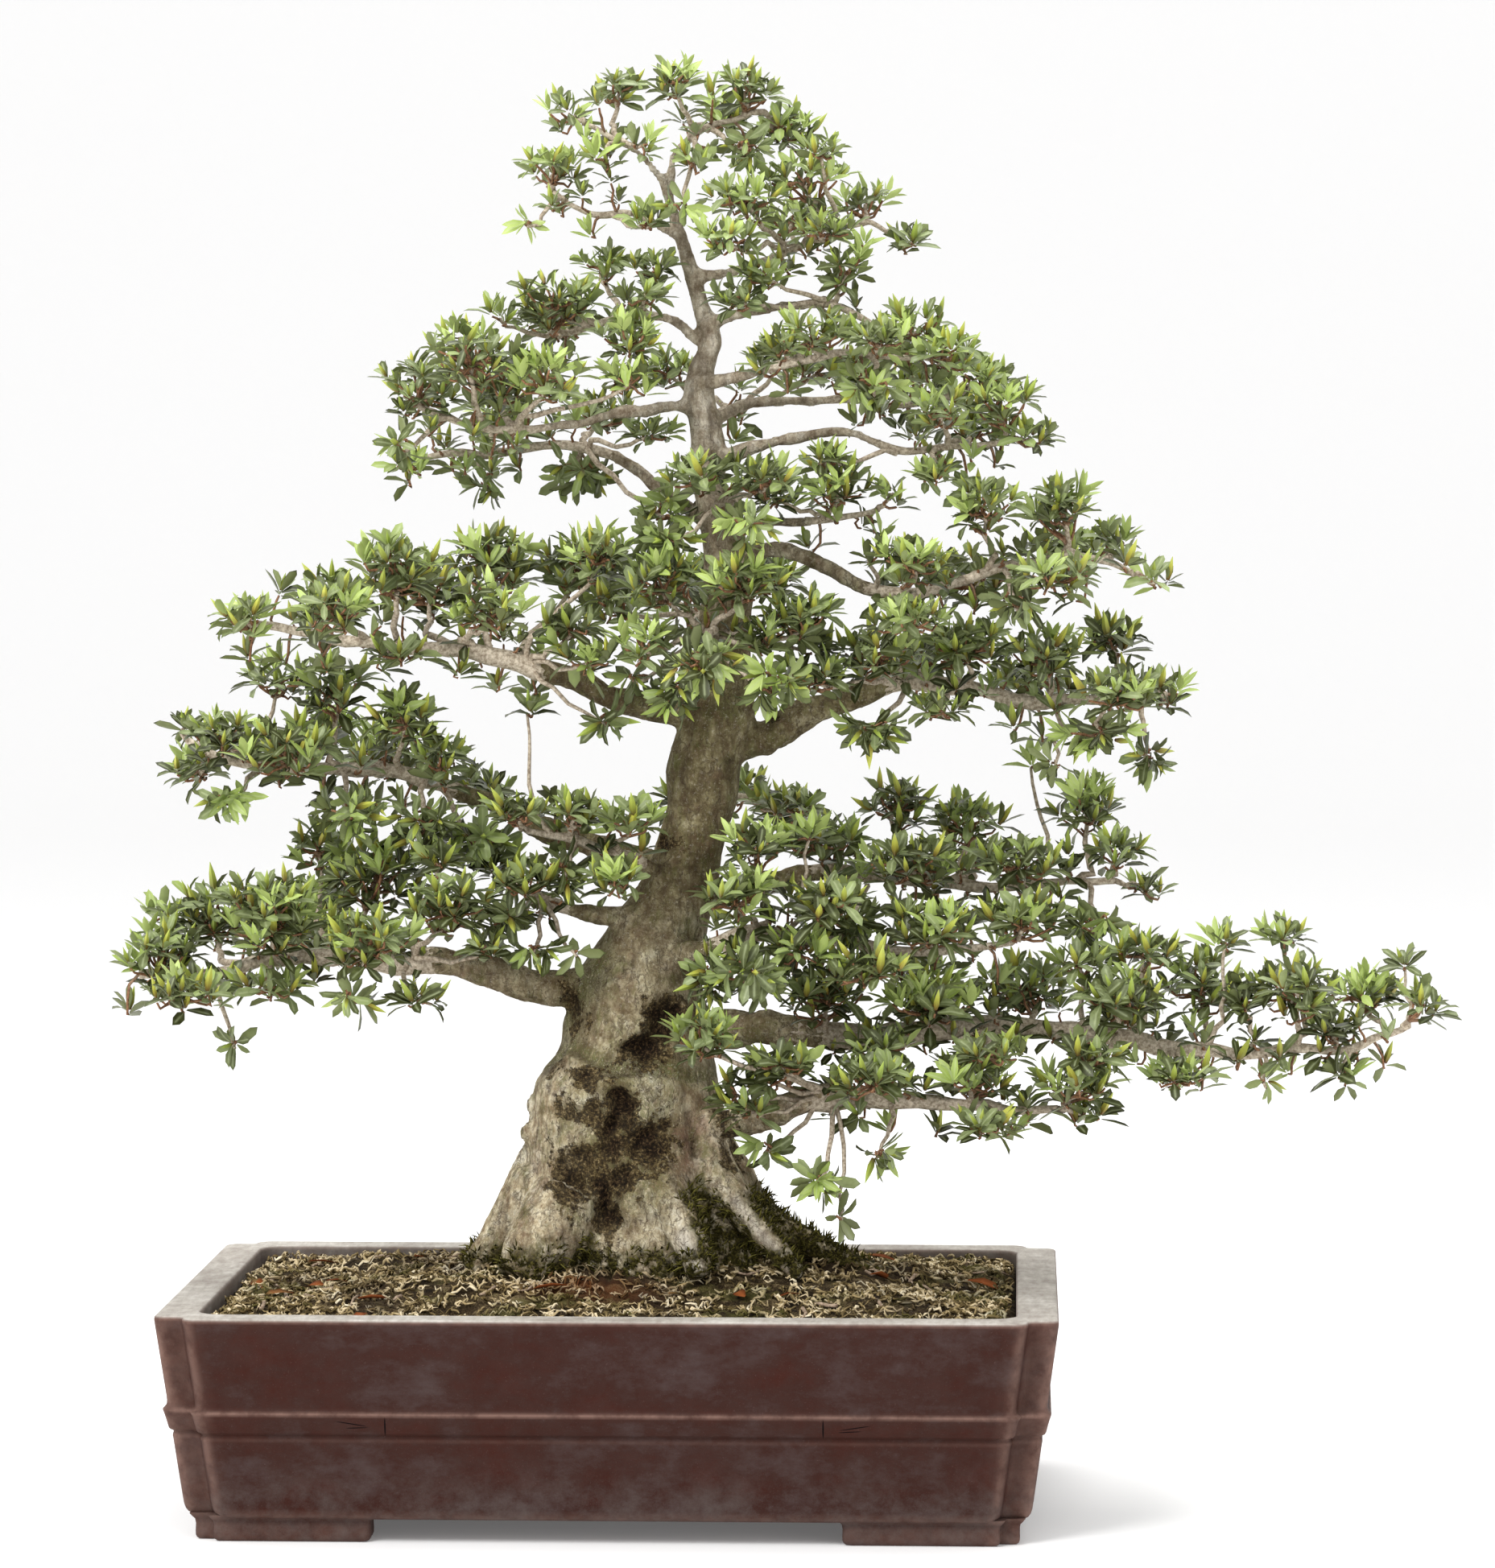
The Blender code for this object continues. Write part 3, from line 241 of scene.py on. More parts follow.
class Field:
    # a value or colour inside a material, whose sums and products are nodes of their own
    def __init__(self, socket):
        self.socket, self.tree = socket, socket.id_data

    def __add__(self, other):
        return combine("ADD", self, other)

    def __sub__(self, other):
        return combine("SUBTRACT", self, other)

    def __mul__(self, other):
        return combine("MULTIPLY", self, other)

    def beside(self, output):
        return Field(self.socket.node.outputs[output])


def addNode(tree, kind, values, output=0, **settings):
    # a node with its settings and inputs, given back as the field of one of its outputs
    node = tree.nodes.new(kind)
    for key, value in settings.items():
        setattr(node, key, value)
    for key, value in values.items():
        if isinstance(value, Field):
            tree.links.new(value.socket, node.inputs[key])
        else:
            node.inputs[key].default_value = value
    return Field(node.outputs[output])


def newFinish(name, roughness, specular):
    # a material with its nodes and its shader
    finish = bpy.data.materials.new(name)
    finish.use_nodes = True
    shader = finish.node_tree.nodes["Principled BSDF"]
    shader.inputs["Roughness"].default_value = roughness
    shader.inputs["Specular IOR Level"].default_value = specular
    return finish, finish.node_tree, shader


def placeOf(tree, stretch=(1, 1, 1)):
    # the piece's own coordinates in metres, stretched for grain that runs one way
    spot = addNode(tree, "ShaderNodeTexCoord", {}, "Object")
    return addNode(tree, "ShaderNodeMapping", {"Vector": spot, "Scale": stretch})


def speckle(place, scale, detail=4.0, roughness=0.6):
    # a cloudy noise from 0 to 1, finer as the scale grows
    return addNode(place.tree, "ShaderNodeTexNoise", {"Vector": place, "Scale": scale, "Detail": detail,
                                                      "Roughness": roughness}, "Fac")


def levels(value, low, high, toLow=0.0, toHigh=1.0):
    # the run from low to high laid evenly on the run from toLow to toHigh
    return addNode(value.tree, "ShaderNodeMapRange", {"Value": value, "From Min": low, "From Max": high,
                                                      "To Min": toLow, "To Max": toHigh})


def combine(operation, a, b):
    # one sum, product or other operation on two values
    return addNode(a.tree, "ShaderNodeMath", {0: a, 1: b}, operation=operation)


def blendColours(share, a, b):
    # colour a where the share is 0, b where it is 1
    b = b if isinstance(b, Field) else (*b, 1)
    return addNode(a.tree, "ShaderNodeMix", {0: share, 6: a, 7: b}, 2, data_type="RGBA")


def colourSteps(value, stops):
    # the colour at each value, blended evenly from every stop to the next
    colour = addNode(value.tree, "ShaderNodeValToRGB", {"Fac": value}, "Color")
    elements = colour.socket.node.color_ramp.elements
    while len(elements) < len(stops):
        elements.new(0.5)
    for element, (place, shade) in zip(elements, stops):
        element.position = place
        element.color = (*shade, 1)
    return colour


def mark(tree, name):
    # the value that the mesh carries at its points under this name
    return addNode(tree, "ShaderNodeAttribute", {}, "Fac", attribute_name=name)


def roughen(shader, height, strength, distance):
    # tilts the surface as if it rose by the height times the distance in metres
    bump = addNode(height.tree, "ShaderNodeBump",
                   {"Height": height, "Strength": strength, "Distance": distance})
    height.tree.links.new(bump.socket, shader.inputs["Normal"])


def paint(shader, colour):
    colour.tree.links.new(colour.socket, shader.inputs["Base Color"])


# Camera, light and floor

studio = {
    "cameraPlace": (0.226, -3.562, 0.594),
    "cameraTilt": -2.91,  # degrees below level
    "cameraTurn": 2.48,
    "lens": 143.1,
    "keyPlace": (-1.7, -2.3, 2.5), "keySize": 1.5, "keyPower": 96,
    "fillPlace": (2.2, -2.4, 1.2), "fillSize": 1.8, "fillPower": 16,
    "topPlace": (0.2, 0.6, 2.9), "topSize": 1.6, "topPower": 46, "lampAim": (0, 0, 0.4),
    "worldColour": (0.97, 0.975, 0.99), "worldStrength": 0.9,
    "floorColour": (0.9, 0.895, 0.885), "floorGlow": 0.11,
    "floorHalf": 12.0, "backdropStart": 6.5, "backdropRadius": 2.5, "backdropTop": 9.0,
}


def makeCamera():
    # the camera turned and tilted from level
    camera = newObject("camera", bpy.data.cameras.new("camera"))
    camera.location = np.array(studio["cameraPlace"]) + potMiddle
    camera.rotation_euler = (math.radians(90 + studio["cameraTilt"]), 0, math.radians(studio["cameraTurn"]))
    camera.data.lens = studio["lens"]
    bpy.context.scene.camera = camera


def makeLamp(name):
    # a square soft light that faces the middle of the tree
    lamp = bpy.data.lights.new(name, "AREA")
    lamp.size, lamp.energy = studio[name + "Size"], studio[name + "Power"]
    holder = newObject(name, lamp)
    holder.location = studio[name + "Place"]
    aim = Vector(studio["lampAim"]) - holder.location
    holder.rotation_euler = aim.to_track_quat("-Z", "Y").to_euler()


def makeFloor():
    # a level floor that turns up through a quarter circle into an upright backdrop
    half, start, radius = studio["floorHalf"], studio["backdropStart"], studio["backdropRadius"]
    turn = np.linspace(0, math.pi / 2, 13)
    y = np.concatenate([[-half], start + radius * np.sin(turn), [start + radius]])
    z = np.concatenate([[0], radius * (1 - np.cos(turn)), [studio["backdropTop"]]])
    points = np.array([[(side, y[k], z[k]) for side in (-half, half)] for k in range(len(y))]).reshape(-1, 3)
    floor = newObject("floor", buildMesh("floor", points, [gridFaces(len(y), 2)[:, ::-1]]))
    finish, _, shader = newFinish("paleFloor", 0.75, 0.2)
    shader.inputs["Base Color"].default_value = (*studio["floorColour"], 1)
    shader.inputs["Emission Color"].default_value = (1, 1, 1, 1)
    shader.inputs["Emission Strength"].default_value = studio["floorGlow"]
    floor.data.materials.append(finish)


def lightWorld():
    # an even pale sky
    world = bpy.data.worlds.new("studio")
    world.use_nodes = True
    background = world.node_tree.nodes["Background"]
    background.inputs["Color"].default_value = (*studio["worldColour"], 1)
    background.inputs["Strength"].default_value = studio["worldStrength"]
    bpy.context.scene.world = world
    bpy.context.scene.view_settings.view_transform = "Standard"


# Pot

pot = {
    "halfWidth": (potHigh[0] - potLow[0]) / 2, "halfDepth": (potHigh[1] - potLow[1]) / 2,
    "height": potHigh[2],
    "footHeight": 0.013, "baseInset": 0.0155, "rimWidth": 0.024,
    "notchWidth": 0.017, "notchDepth": 0.013,
    "noseRound": 0.0080, "creaseRound": 0.0046, "edgeRound": 0.0060, "innerRound": 0.014,
    "drainRadius": 0.016, "drainSpread": 0.110,
    "footLength": 0.098, "footReach": 0.072, "footThickness": 0.026, "footInset": 0.006,
    "faceSpacing": 0.0062, "noseSteps": 9, "creaseSteps": 6, "edgeSteps": 8, "stepRuns": 3,
    "waver": 0.0003,
}
# The outside of the wall from the base up: height, and how far it stands back from its leaning line.
wallProfile = [
    (0.013, 0.0075), (0.0131, 0.0052), (0.0137, 0.0032), (0.0149, 0.0016), (0.0168, 0.0006),
    (0.0195, 0.0001), (0.024, 0), (0.03, 0), (0.037, 0), (0.044, 0), (0.051, 0), (0.056, 0), (0.057, 0),
    (0.058, -0.0001), (0.0588, 0), (0.0596, 0.0003), (0.0602, 0.0006), (0.0607, 0.0007), (0.0612, 0.0006),
    (0.0616, 0.0001), (0.0619, -0.0005), (0.0623, -0.001), (0.0632, -0.0014), (0.066, -0.0017),
    (0.069, -0.0021), (0.0716, -0.0025), (0.0731, -0.0028), (0.0738, -0.0028), (0.0743, -0.0024),
    (0.0748, -0.0016), (0.0756, -0.0009), (0.0768, -0.0004), (0.0785, -0.0001), (0.081, 0), (0.086, 0),
    (0.093, 0), (0.1, 0), (0.107, 0), (0.114, 0), (0.12, 0), (0.1235, 0), (0.1249, 0.0002),
    (0.1257, 0.0006), (0.1262, 0.0013), (0.1265, 0.0024),
]
# The way over the rim and down inside: height, and distance from the inner wall's line.
insideProfile = [
    (0.1265, -0.02), (0.1265, -0.0165), (0.1264, -0.0125), (0.1264, -0.0085), (0.1265, -0.005),
    (0.1265, -0.0026), (0.1263, -0.0013), (0.1258, -0.0005), (0.125, -0.0001), (0.1238, 0), (0.12, 0),
    (0.115, 0), (0.105, 0.0002), (0.08, 0.001), (0.045, 0.002), (0.03, 0.003), (0.0258, 0.005),
    (0.025, 0.009),
]
# The feet from the ground up: height, and how far their outline stands back.
footProfile = [(0, 0.0030), (0.0003, 0.0017), (0.0011, 0.0007), (0.0025, 0.0001), (0.0050, 0),
               (0.0090, 0.0002), (0.0116, -0.0003), (0.0128, -0.0014), (0.0150, -0.0030)]
# Marks cut in the band: x, z, half length and half width in centimetres, and turn in degrees.
potIncisions = [
    (-12.05, 6.7, 0.55, 0.05, 90), (12.05, 6.7, 0.55, 0.05, 90), (-13.9, 6.85, 0.95, 0.035, 9),
    (-13.6, 6.62, 0.65, 0.032, -2), (13.8, 6.78, 0.9, 0.035, -9), (13.5, 6.56, 0.7, 0.032, -3),
]


def roundedOutline(corners, radii, arcSteps, runSteps):
    # each corner becomes an arc that touches both its edges, and the runs between are divided evenly
    corners = np.asarray(corners, float)
    inWay = unit(corners - np.roll(corners, 1, axis=0))
    outWay = np.roll(inWay, -1, axis=0)
    turn = np.arctan2(inWay[:, 0] * outWay[:, 1] - inWay[:, 1] * outWay[:, 0], np.sum(inWay * outWay, axis=1))
    reach = (np.asarray(radii) * np.abs(np.tan(turn / 2)))[:, None]
    starts, ends = corners - inWay * reach, corners + outWay * reach
    ring = []
    for i, start in enumerate(starts):
        side = np.array([-inWay[i, 1], inWay[i, 0]]) * np.sign(turn[i])
        sweep = np.linspace(0, abs(turn[i]), arcSteps[i])[:, None]
        ring.append(start + radii[i] * (side * (1 - np.cos(sweep)) + inWay[i] * np.sin(sweep)))
        share = np.linspace(0, 1, runSteps[i] + 2)[1:-1, None]
        ring.append(ends[i] + (starts[(i + 1) % len(starts)] - ends[i]) * share)
    return np.vstack(ring)


def potOutline(inset):
    # the rectangle with a soft square notch at every corner, each notch an outer round, a crease
    # and an outer round, walked anticlockwise from the right end of the front face
    w, d = pot["halfWidth"] - inset, pot["halfDepth"] - inset
    nw, nd = pot["notchWidth"], pot["notchDepth"]
    corners = [(w - nw, -d), (w - nw, nd - d), (w, nd - d), (w, d - nd), (w - nw, d - nd), (w - nw, d),
               (nw - w, d), (nw - w, d - nd), (-w, d - nd), (-w, nd - d), (nw - w, nd - d), (nw - w, -d)]
    nose, crease, edge = pot["noseRound"], pot["creaseRound"], pot["edgeRound"]
    steps = (pot["noseSteps"], pot["creaseSteps"], pot["edgeSteps"])
    sideRun, frontRun = faceRuns()
    s = pot["stepRuns"]
    return roundedOutline(
        corners, [nose, crease, edge, edge, crease, nose] * 2,
        [*steps, *steps[::-1]] * 2, [s, s, sideRun, s, s, frontRun] * 2)


def faceRuns():
    # how many points divide a side face and a front face, spaced evenly
    return (int((pot["halfDepth"] - pot["notchDepth"]) * 2 / pot["faceSpacing"]),
            int((pot["halfWidth"] - pot["notchWidth"]) * 2 / pot["faceSpacing"]))


def innerOutline(inset):
    # the rectangle with round corners, with as many points in each corner and run as the outside
    w = pot["halfWidth"] - pot["rimWidth"] - inset
    d = pot["halfDepth"] - pot["rimWidth"] - inset
    sideRun, frontRun = faceRuns()
    cornerSteps = pot["noseSteps"] + pot["creaseSteps"] + pot["edgeSteps"] + 2 * pot["stepRuns"]
    return roundedOutline([(w, -d), (w, d), (-w, d), (-w, -d)], [max(pot["innerRound"] - inset, 0.004)] * 4,
                          [cornerSteps] * 4, [sideRun, frontRun] * 2)


def lean(z):
    # how far the wall stands back: the base's inset at the feet, none at the rim, evenly between
    return pot["baseInset"] * (pot["height"] - z) / (pot["height"] - pot["footHeight"])


def potShell():
    # level rings up the outside, over the rim and down the inside, with a flat face closing each end
    rings = [levelRing(potOutline(lean(z) + back), z) for z, back in wallProfile]
    top, topBack = rings[-1][:, :2], wallProfile[-1][1]
    for z, back in insideProfile:
        inner = innerOutline(max(back, 0))
        if back < 0:  # on the rim, part of the way from the inner wall's line to the outer edge
            share = -back / (pot["rimWidth"] - topBack)
            inner = inner + (top - inner) * share
        rings.append(levelRing(inner, z))
    return stackedRings(rings)


def potFeet():
    # four L-shaped feet: the outline of a thick right angle with a notched corner, carried up in
    # level rings that round under at the bottom
    inset = pot["footInset"]
    w, d = pot["halfWidth"] - pot["baseInset"] - inset, pot["halfDepth"] - pot["baseInset"] - inset
    nw, nd = pot["notchWidth"] - inset, pot["notchDepth"] - inset
    t, length, reach = pot["footThickness"], pot["footLength"], pot["footReach"]
    parts = []
    for sx, sy in ((1, 1), (-1, 1), (-1, -1), (1, -1)):
        rings = []
        for z, e in footProfile:
            corners = [(w - length + e, d - e), (w - length + e, d - t + e), (w - t + e, d - t + e),
                       (w - t + e, d - reach + e), (w - e, d - reach + e), (w - e, d - nd - e),
                       (w - nw - e, d - nd - e), (w - nw - e, d - e)]
            ring = roundedOutline(corners, [0.0036, 0.004, 0.006, 0.004, 0.0036, 0.0016, 0.0012, 0.0016],
                                  [7] * 8, [3, 18, 14, 3, 14, 1, 1, 20])
            rings.append(levelRing(ring * (sx, sy), z)[::sx * sy])  # mirrored rings run the other way
        parts.append(stackedRings(rings))
    return joinParts(parts)


def drainCutter():
    # two upright round bars through the floor
    spread, low, high = pot["drainSpread"], 0.004, 0.034
    paths = np.array([[(x, 0, low), (x, 0, high)] for x in (-spread, spread)])
    points, faces = sweptTubes(paths, np.full((2, 2), pot["drainRadius"]), 40)
    return buildMesh("drainCutter", points + potMiddle, faces)


def incisions(tree):
    # the marks cut in the band: each an ellipse in x and z, found as the length of the place once it
    # is moved to the mark's middle, turned along it and divided by its half sizes
    total = 0.0
    spot = addNode(tree, "ShaderNodeTexCoord", {}, "Object")
    for x, z, halfLength, halfWidth, turn in potIncisions:
        moved = addNode(tree, "ShaderNodeMapping", {
            "Vector": spot, "Location": np.array([x, 0, z]) * cm + potMiddle,
            "Rotation": (0, math.radians(turn), 0),
            "Scale": (halfLength * cm, 30.0, halfWidth * cm)}, vector_type="TEXTURE")
        size = addNode(tree, "ShaderNodeVectorMath", {0: moved}, "Value", operation="LENGTH")
        total = combine("MAXIMUM", levels(size, 0.75, 1.05, 1.0, 0.0), total)
    return total


def clayFinish():
    # brown-red unglazed clay: a dark face with a cloudy grey bloom, pale edges that are partly wear and
    # partly painted highlight, fine specks, a paler rim with brushed streaks and water marks low on the wall
    finish, tree, shader = newFinish("clay", 0.6, 0.05)
    place = placeOf(tree)
    clouds, grain = speckle(placeOf(tree, (0.6, 1, 1)), 34, 6, 0.72), speckle(place, 900, 3, 0.7)
    body = colourSteps(clouds, [(0.3, (0.039, 0.0105, 0.0068)), (0.5, (0.035, 0.0142, 0.0108)),
                                (0.68, (0.052, 0.0325, 0.0300))])
    body = blendColours(levels(grain, 0.62, 0.75, 0, 0.35), body, (0.12, 0.075, 0.065))
    # pale edges: wear, and painted highlights down the corner noses and along the band's edges
    worn = mark(tree, "worn") * levels(speckle(place, 120), 0.3, 0.6, 0.35, 1.0)
    body = blendColours(worn, body, (0.17, 0.100, 0.080))
    film = mark(tree, "film") * levels(speckle(place, 48, 8, 0.78), 0.40, 0.66)
    body = blendColours(film, body, (0.120, 0.102, 0.094))
    streaks = speckle(placeOf(tree, (1, 0.25, 1)), 240, 5, 0.7)
    rim = colourSteps(clouds * 0.6 + streaks * 0.4, [(0.35, (0.27, 0.23, 0.20)), (0.5, (0.42, 0.385, 0.34)),
                                                     (0.66, (0.62, 0.59, 0.54))])
    body = blendColours(mark(tree, "rim"), body, rim)
    scratches = incisions(tree)
    paint(shader, blendColours(scratches, body, (0.005, 0.002, 0.002)))
    tree.links.new(levels(clouds, 0.3, 0.7, 0.48, 0.7).socket, shader.inputs["Roughness"])
    roughen(shader, clouds * 0.7 + grain * 0.3 - scratches * 1.2, 0.35, 0.0012)
    return finish


def clayMarks(points):
    # worn, and lightened as a painted highlight, where an edge turns outwards, filmed low on the wall, and
    # pale on top of the rim
    x, y, z = (points - potMiddle).T
    w, d = pot["halfWidth"] - lean(z), pot["halfDepth"] - lean(z)
    outX, outY = np.abs(x) - (w - pot["notchWidth"]), np.abs(y) - (d - pot["notchDepth"])
    # the corner noses and the band's edges are lightened partly as wear and partly as painted highlights
    nose = 0.75 * bell(outX + 0.002, 0.0040) * bell(np.abs(y) - d, 0.005)
    nose += 0.75 * bell(outY + 0.002, 0.0040) * bell(np.abs(x) - w, 0.005)
    recess = smoothStep(outX, -0.001, 0.002) * smoothStep(outY, -0.016, -0.001) * 0.30
    bandEdgeHighlight = bell(z - 0.0738, 0.0011) + 0.15 * bell(z - 0.0584, 0.0009)
    topEdge, baseEdge = 0.8 * bell(z - 0.1256, 0.0012), 0.5 * bell(z - 0.0150, 0.0022)
    footEnd = smoothStep(-z, -0.012, -0.009) * 0.30
    outside = (np.abs(x) > w - 0.0185) | (np.abs(y) > d - 0.0145)
    worn = np.clip((nose + recess + bandEdgeHighlight + baseEdge) * outside + topEdge + footEnd, 0, 1)
    film = outside * (0.06 + 0.34 * (1 - smoothStep(z, 0.014, 0.052)))
    onRim = np.maximum(smoothStep(z, 0.1253, 0.1263), 0.35 * ~outside * smoothStep(z, 0.095, 0.115))
    return {"worn": worn, "film": film, "rim": onRim}


def makePot():
    # the shell, swayed a little and with its drain holes cut out, and the feet
    points, faces = potShell()
    points = points + potMiddle
    sway = latticeNoise(points, (0.06, 0.06, 0.03), 3, 3) * pot["waver"]
    onWall = smoothStep(points[:, 2], 0.013, 0.020) * smoothStep(-points[:, 2], -pot["height"], -0.120)
    points[:, 1] += sway * onWall * np.sign(points[:, 1] - potMiddle[1])
    shell = newObject("potShell", buildMesh("potShell", points, faces))
    cutter = newObject("drainCutter", drainCutter())
    cut = shell.modifiers.new("drain", "BOOLEAN")
    cut.operation, cut.object, cut.solver = "DIFFERENCE", cutter, "EXACT"
    body = bakedMesh(shell)
    bpy.data.objects.remove(cutter)
    points, faces = potFeet()
    feet, finish = buildMesh("potFeet", points + potMiddle, faces), clayFinish()
    for name, mesh in (("pot_body", body), ("pot_feet", feet)):
        setMarks(mesh, clayMarks(vectorsOf(mesh.vertices, "co")))
        mesh.shade_smooth()
        mesh.set_sharp_from_angle(angle=math.radians(50))
        addPiece(name, mesh, finish, ["pot"])
    print("pot:", len(body.polygons), "faces")


# Trunk

trunk = {
    "bottom": 10.45, "top": 75.0, "rows": 170, "columns": 120,
    "footLevel": 14.05,  # where it leaves the bed, in centimetres as above
    "voxel": 0.0022, "smoothing": 2,
    "lobeShare": 0.55,  # the surface roots' own tubes make up the rest
    "furrow": 0.00055, "lump": 0.0011, "crumb": 0.00025,
    "collarRise": 0.0042, "hollowStray": 0.42, "grooveDepth": 0.0045, "grooveHalf": 0.28, "pitDepth": 0.0030,
}
# Height, middle and radius of the trunk, in centimetres.
trunkLine = [
    (14.0, 0.7, 2.4, 6.2), (16.5, 0.65, 2.4, 6.2), (19.0, 0.5, 2.3, 6.25), (21.5, 0.25, 2.2, 5.7),
    (24.0, 0.2, 2.1, 5.15), (26.1, 0.7, 2.0, 4.4), (28.4, 0.7, 2.0, 3.95), (30.7, 1.0, 2.0, 3.35),
    (33.0, 2.0, 2.0, 2.85), (35.4, 3.1, 2.0, 2.35), (37.7, 3.8, 2.0, 1.95), (40.0, 4.4, 2.1, 2.0),
    (42.3, 4.6, 2.2, 2.15), (44.6, 5.3, 2.3, 2.2), (47.0, 5.5, 2.3, 1.85), (50.0, 5.7, 2.3, 1.6),
    (53.0, 6.0, 2.2, 1.45), (56.0, 5.6, 2.1, 1.2), (58.5, 4.9, 2.0, 1.0), (61.0, 4.8, 2.0, 0.95),
    (63.5, 4.3, 2.0, 0.9), (65.2, 4.5, 2.0, 0.75), (66.6, 5.0, 2.0, 0.62), (68.0, 4.6, 2.0, 0.58),
    (70.0, 4.0, 2.0, 0.48), (72.5, 3.3, 2.0, 0.4), (75.0, 2.5, 2.0, 0.34),
]
# Surface roots: compass angle, reach beyond the trunk, sink height and half angular width.
rootLobes = [(178, 2.3, 3.4, 26), (222, 1.5, 2.6, 17), (286, 2.2, 2.8, 12), (330, 3.0, 2.4, 13),
             (3, 7.0, 1.9, 11), (52, 2.6, 2.6, 18), (98, 2.0, 3.0, 20), (140, 2.6, 2.4, 16)]
# The same roots as round ridges: places and radii from the trunk out.
rootRidges = {
    "rightPale": [(4.5, -0.8, 20, 1.6), (6.3, -1.6, 17.8, 1.2), (7.9, -2.4, 16, 0.9), (9.3, -3, 14.4, 0.7),
                  (10.4, -3.4, 13.3, 0.5)],
    "rightMossy": [(4.6, 1.5, 20, 2.0), (6.8, 1.8, 17.3, 1.4), (8.8, 2, 15.5, 1.05), (11.4, 2.2, 14.2, 0.82),
                   (14, 2.3, 13.1, 0.62), (16.5, 2.3, 12.3, 0.45)],
    "centreFront": [(2, -2.5, 19, 1.6), (3.4, -3.9, 17, 1.2), (4.3, -5, 15, 0.95), (4.7, -5.6, 13.6, 0.7)],
    "left": [(-4.4, 1, 18.2, 2.3), (-6, 1, 16, 1.85), (-7.4, 0.8, 14.4, 1.3), (-8.8, 0.6, 13, 0.9)],
    "leftFront": [(-3, -2.0, 17.5, 2.4), (-4.4, -3.4, 15.2, 2.1), (-5.6, -4.4, 13.2, 1.6)],
    "backLeft": [(-3, 6, 18, 1.8), (-4.8, 8.2, 15, 1.3), (-6, 9.6, 13.2, 0.8)],
    "back": [(1, 7.5, 18, 1.8), (1.2, 9.8, 15, 1.3), (1.2, 11.5, 13.2, 0.8)],
    "backRight": [(4.5, 6, 18, 1.8), (6.2, 8, 15.4, 1.2), (7.6, 9.4, 13.4, 0.8)],
}
# Old wounds and furrows on the front: x, z, half width, half height and depth. The last two lie under the
# collar's upper left, where the dark crumbs they bring are painted shade.
hollows = [
    (0.2, 23.1, 0.75, 0.85, 1.0), (-0.4, 21.9, 0.8, 0.8, 0.8), (-0.5, 20.8, 0.7, 0.9, 0.7),
    (1.45, 20.9, 1.1, 1.15, 0.8), (0.2, 18.9, 0.75, 0.7, 0.6), (-0.6, 17.2, 0.5, 1.7, 0.6),
    (-2.8, 22.6, 0.6, 0.55, 0.35), (-1.6, 22.4, 0.9, 0.6, 0.4), (-2.85, 18.7, 0.75, 1.3, 0.5),
    (-1.9, 19.95, 0.9, 0.8, 0.45), (-1.0, 18.8, 0.7, 0.8, 0.45), (2.3, 28.3, 0.9, 0.8, 0.7),
    (1.2, 26.1, 0.85, 0.8, 1.0), (2.1, 27.0, 0.9, 1.3, 0.7), (-2.9, 28.3, 0.7, 1.4, 0.35),
    (2.1, 37.8, 0.6, 0.5, 0.5), (8.7, 44.9, 0.5, 0.4, 0.4), (3.9, 20.6, 0.8, 0.6, 0.15),
    (5.9, 22.2, 0.5, 0.8, 0.35), (6.4, 20.6, 0.5, 0.9, 0.45), (-3.6, 24.9, 1.0, 0.28, 0.3),
    (-1.7, 24.3, 0.7, 0.5, 0.45),
]
# The dark groove down the front, and the line where the upper trunk comes out of the swollen base.
groove = [(0.3, 23.7), (0.6, 22.1), (-0.4, 20.75), (0.0, 19.1), (-0.2, 17.45), (0.0, 16.45)]
collar = [(-5.5, 24.0), (-4.0, 25.0), (-2.8, 25.9), (-0.2, 24.7), (1.45, 25.0), (2.7, 24.8), (4.0, 24.2)]
burrs = [(-4.75, 1.0, 22.6, 0.7), (-5.3, 0.5, 21.1, 0.6), (-5.5, 1.4, 19.8, 0.6), (8.2, 3.0, 43.2, 0.55)]
# Pale ridges in x and z, each with its half width, strength and furthest y back, and the damp run.
paleLines = [([(6.6, 17.6), (7.9, 16), (10.4, 13.3)], 0.36, 0.66, 1),
             ([(3.8, 15.8), (4.7, 13.6)], 0.55, 0.8, 0)]
dampLine = [(-3.4, 27.6), (-2.2, 29.6), (-1.2, 31.2)]


def trunkPlaces(z):
    # the trunk's middle and radius at heights in centimetres, on a smooth curve through its rows
    rows = throughPoints(trunkLine, 8)
    return [np.interp(z, rows[:, 0], rows[:, k]) for k in (1, 2, 3)]


def trunkFoot():
    # the trunk's middle and radius where it leaves the bed
    return [float(value) for value in trunkPlaces(trunk["footLevel"])]


def trunkBody():
    # level rings whose radius grows near the soil by a soft lobe along each root's compass line
    z = np.linspace(trunk["bottom"], trunk["top"], trunk["rows"])
    angle = np.linspace(0, 2 * math.pi, trunk["columns"], endpoint=False)
    cx, cy, radius = (values[:, None] for values in trunkPlaces(np.maximum(z, trunk["footLevel"])))
    radius = radius * np.ones((1, len(angle)))
    above = np.maximum(z - trunk["footLevel"], 0)[:, None]
    for compass, reach, sink, half in rootLobes:
        turn = (angle - math.radians(compass) + math.pi) % (2 * math.pi) - math.pi
        radius += trunk["lobeShare"] * reach * (np.exp(-above / sink) * bell(turn, math.radians(half))[None])
    x, y = cx + radius * np.cos(angle), cy + radius * np.sin(angle)
    points, faces = stackedRings(np.stack([x, y, np.broadcast_to(z[:, None], x.shape)], axis=-1))
    return points * cm, faces


def rootRidge(rows):
    # a round tube along the root's smooth curve
    curve = throughPoints(rows, 6)
    return taperedTube(curve[:, :3] * cm, curve[:, 3] * cm, 18)


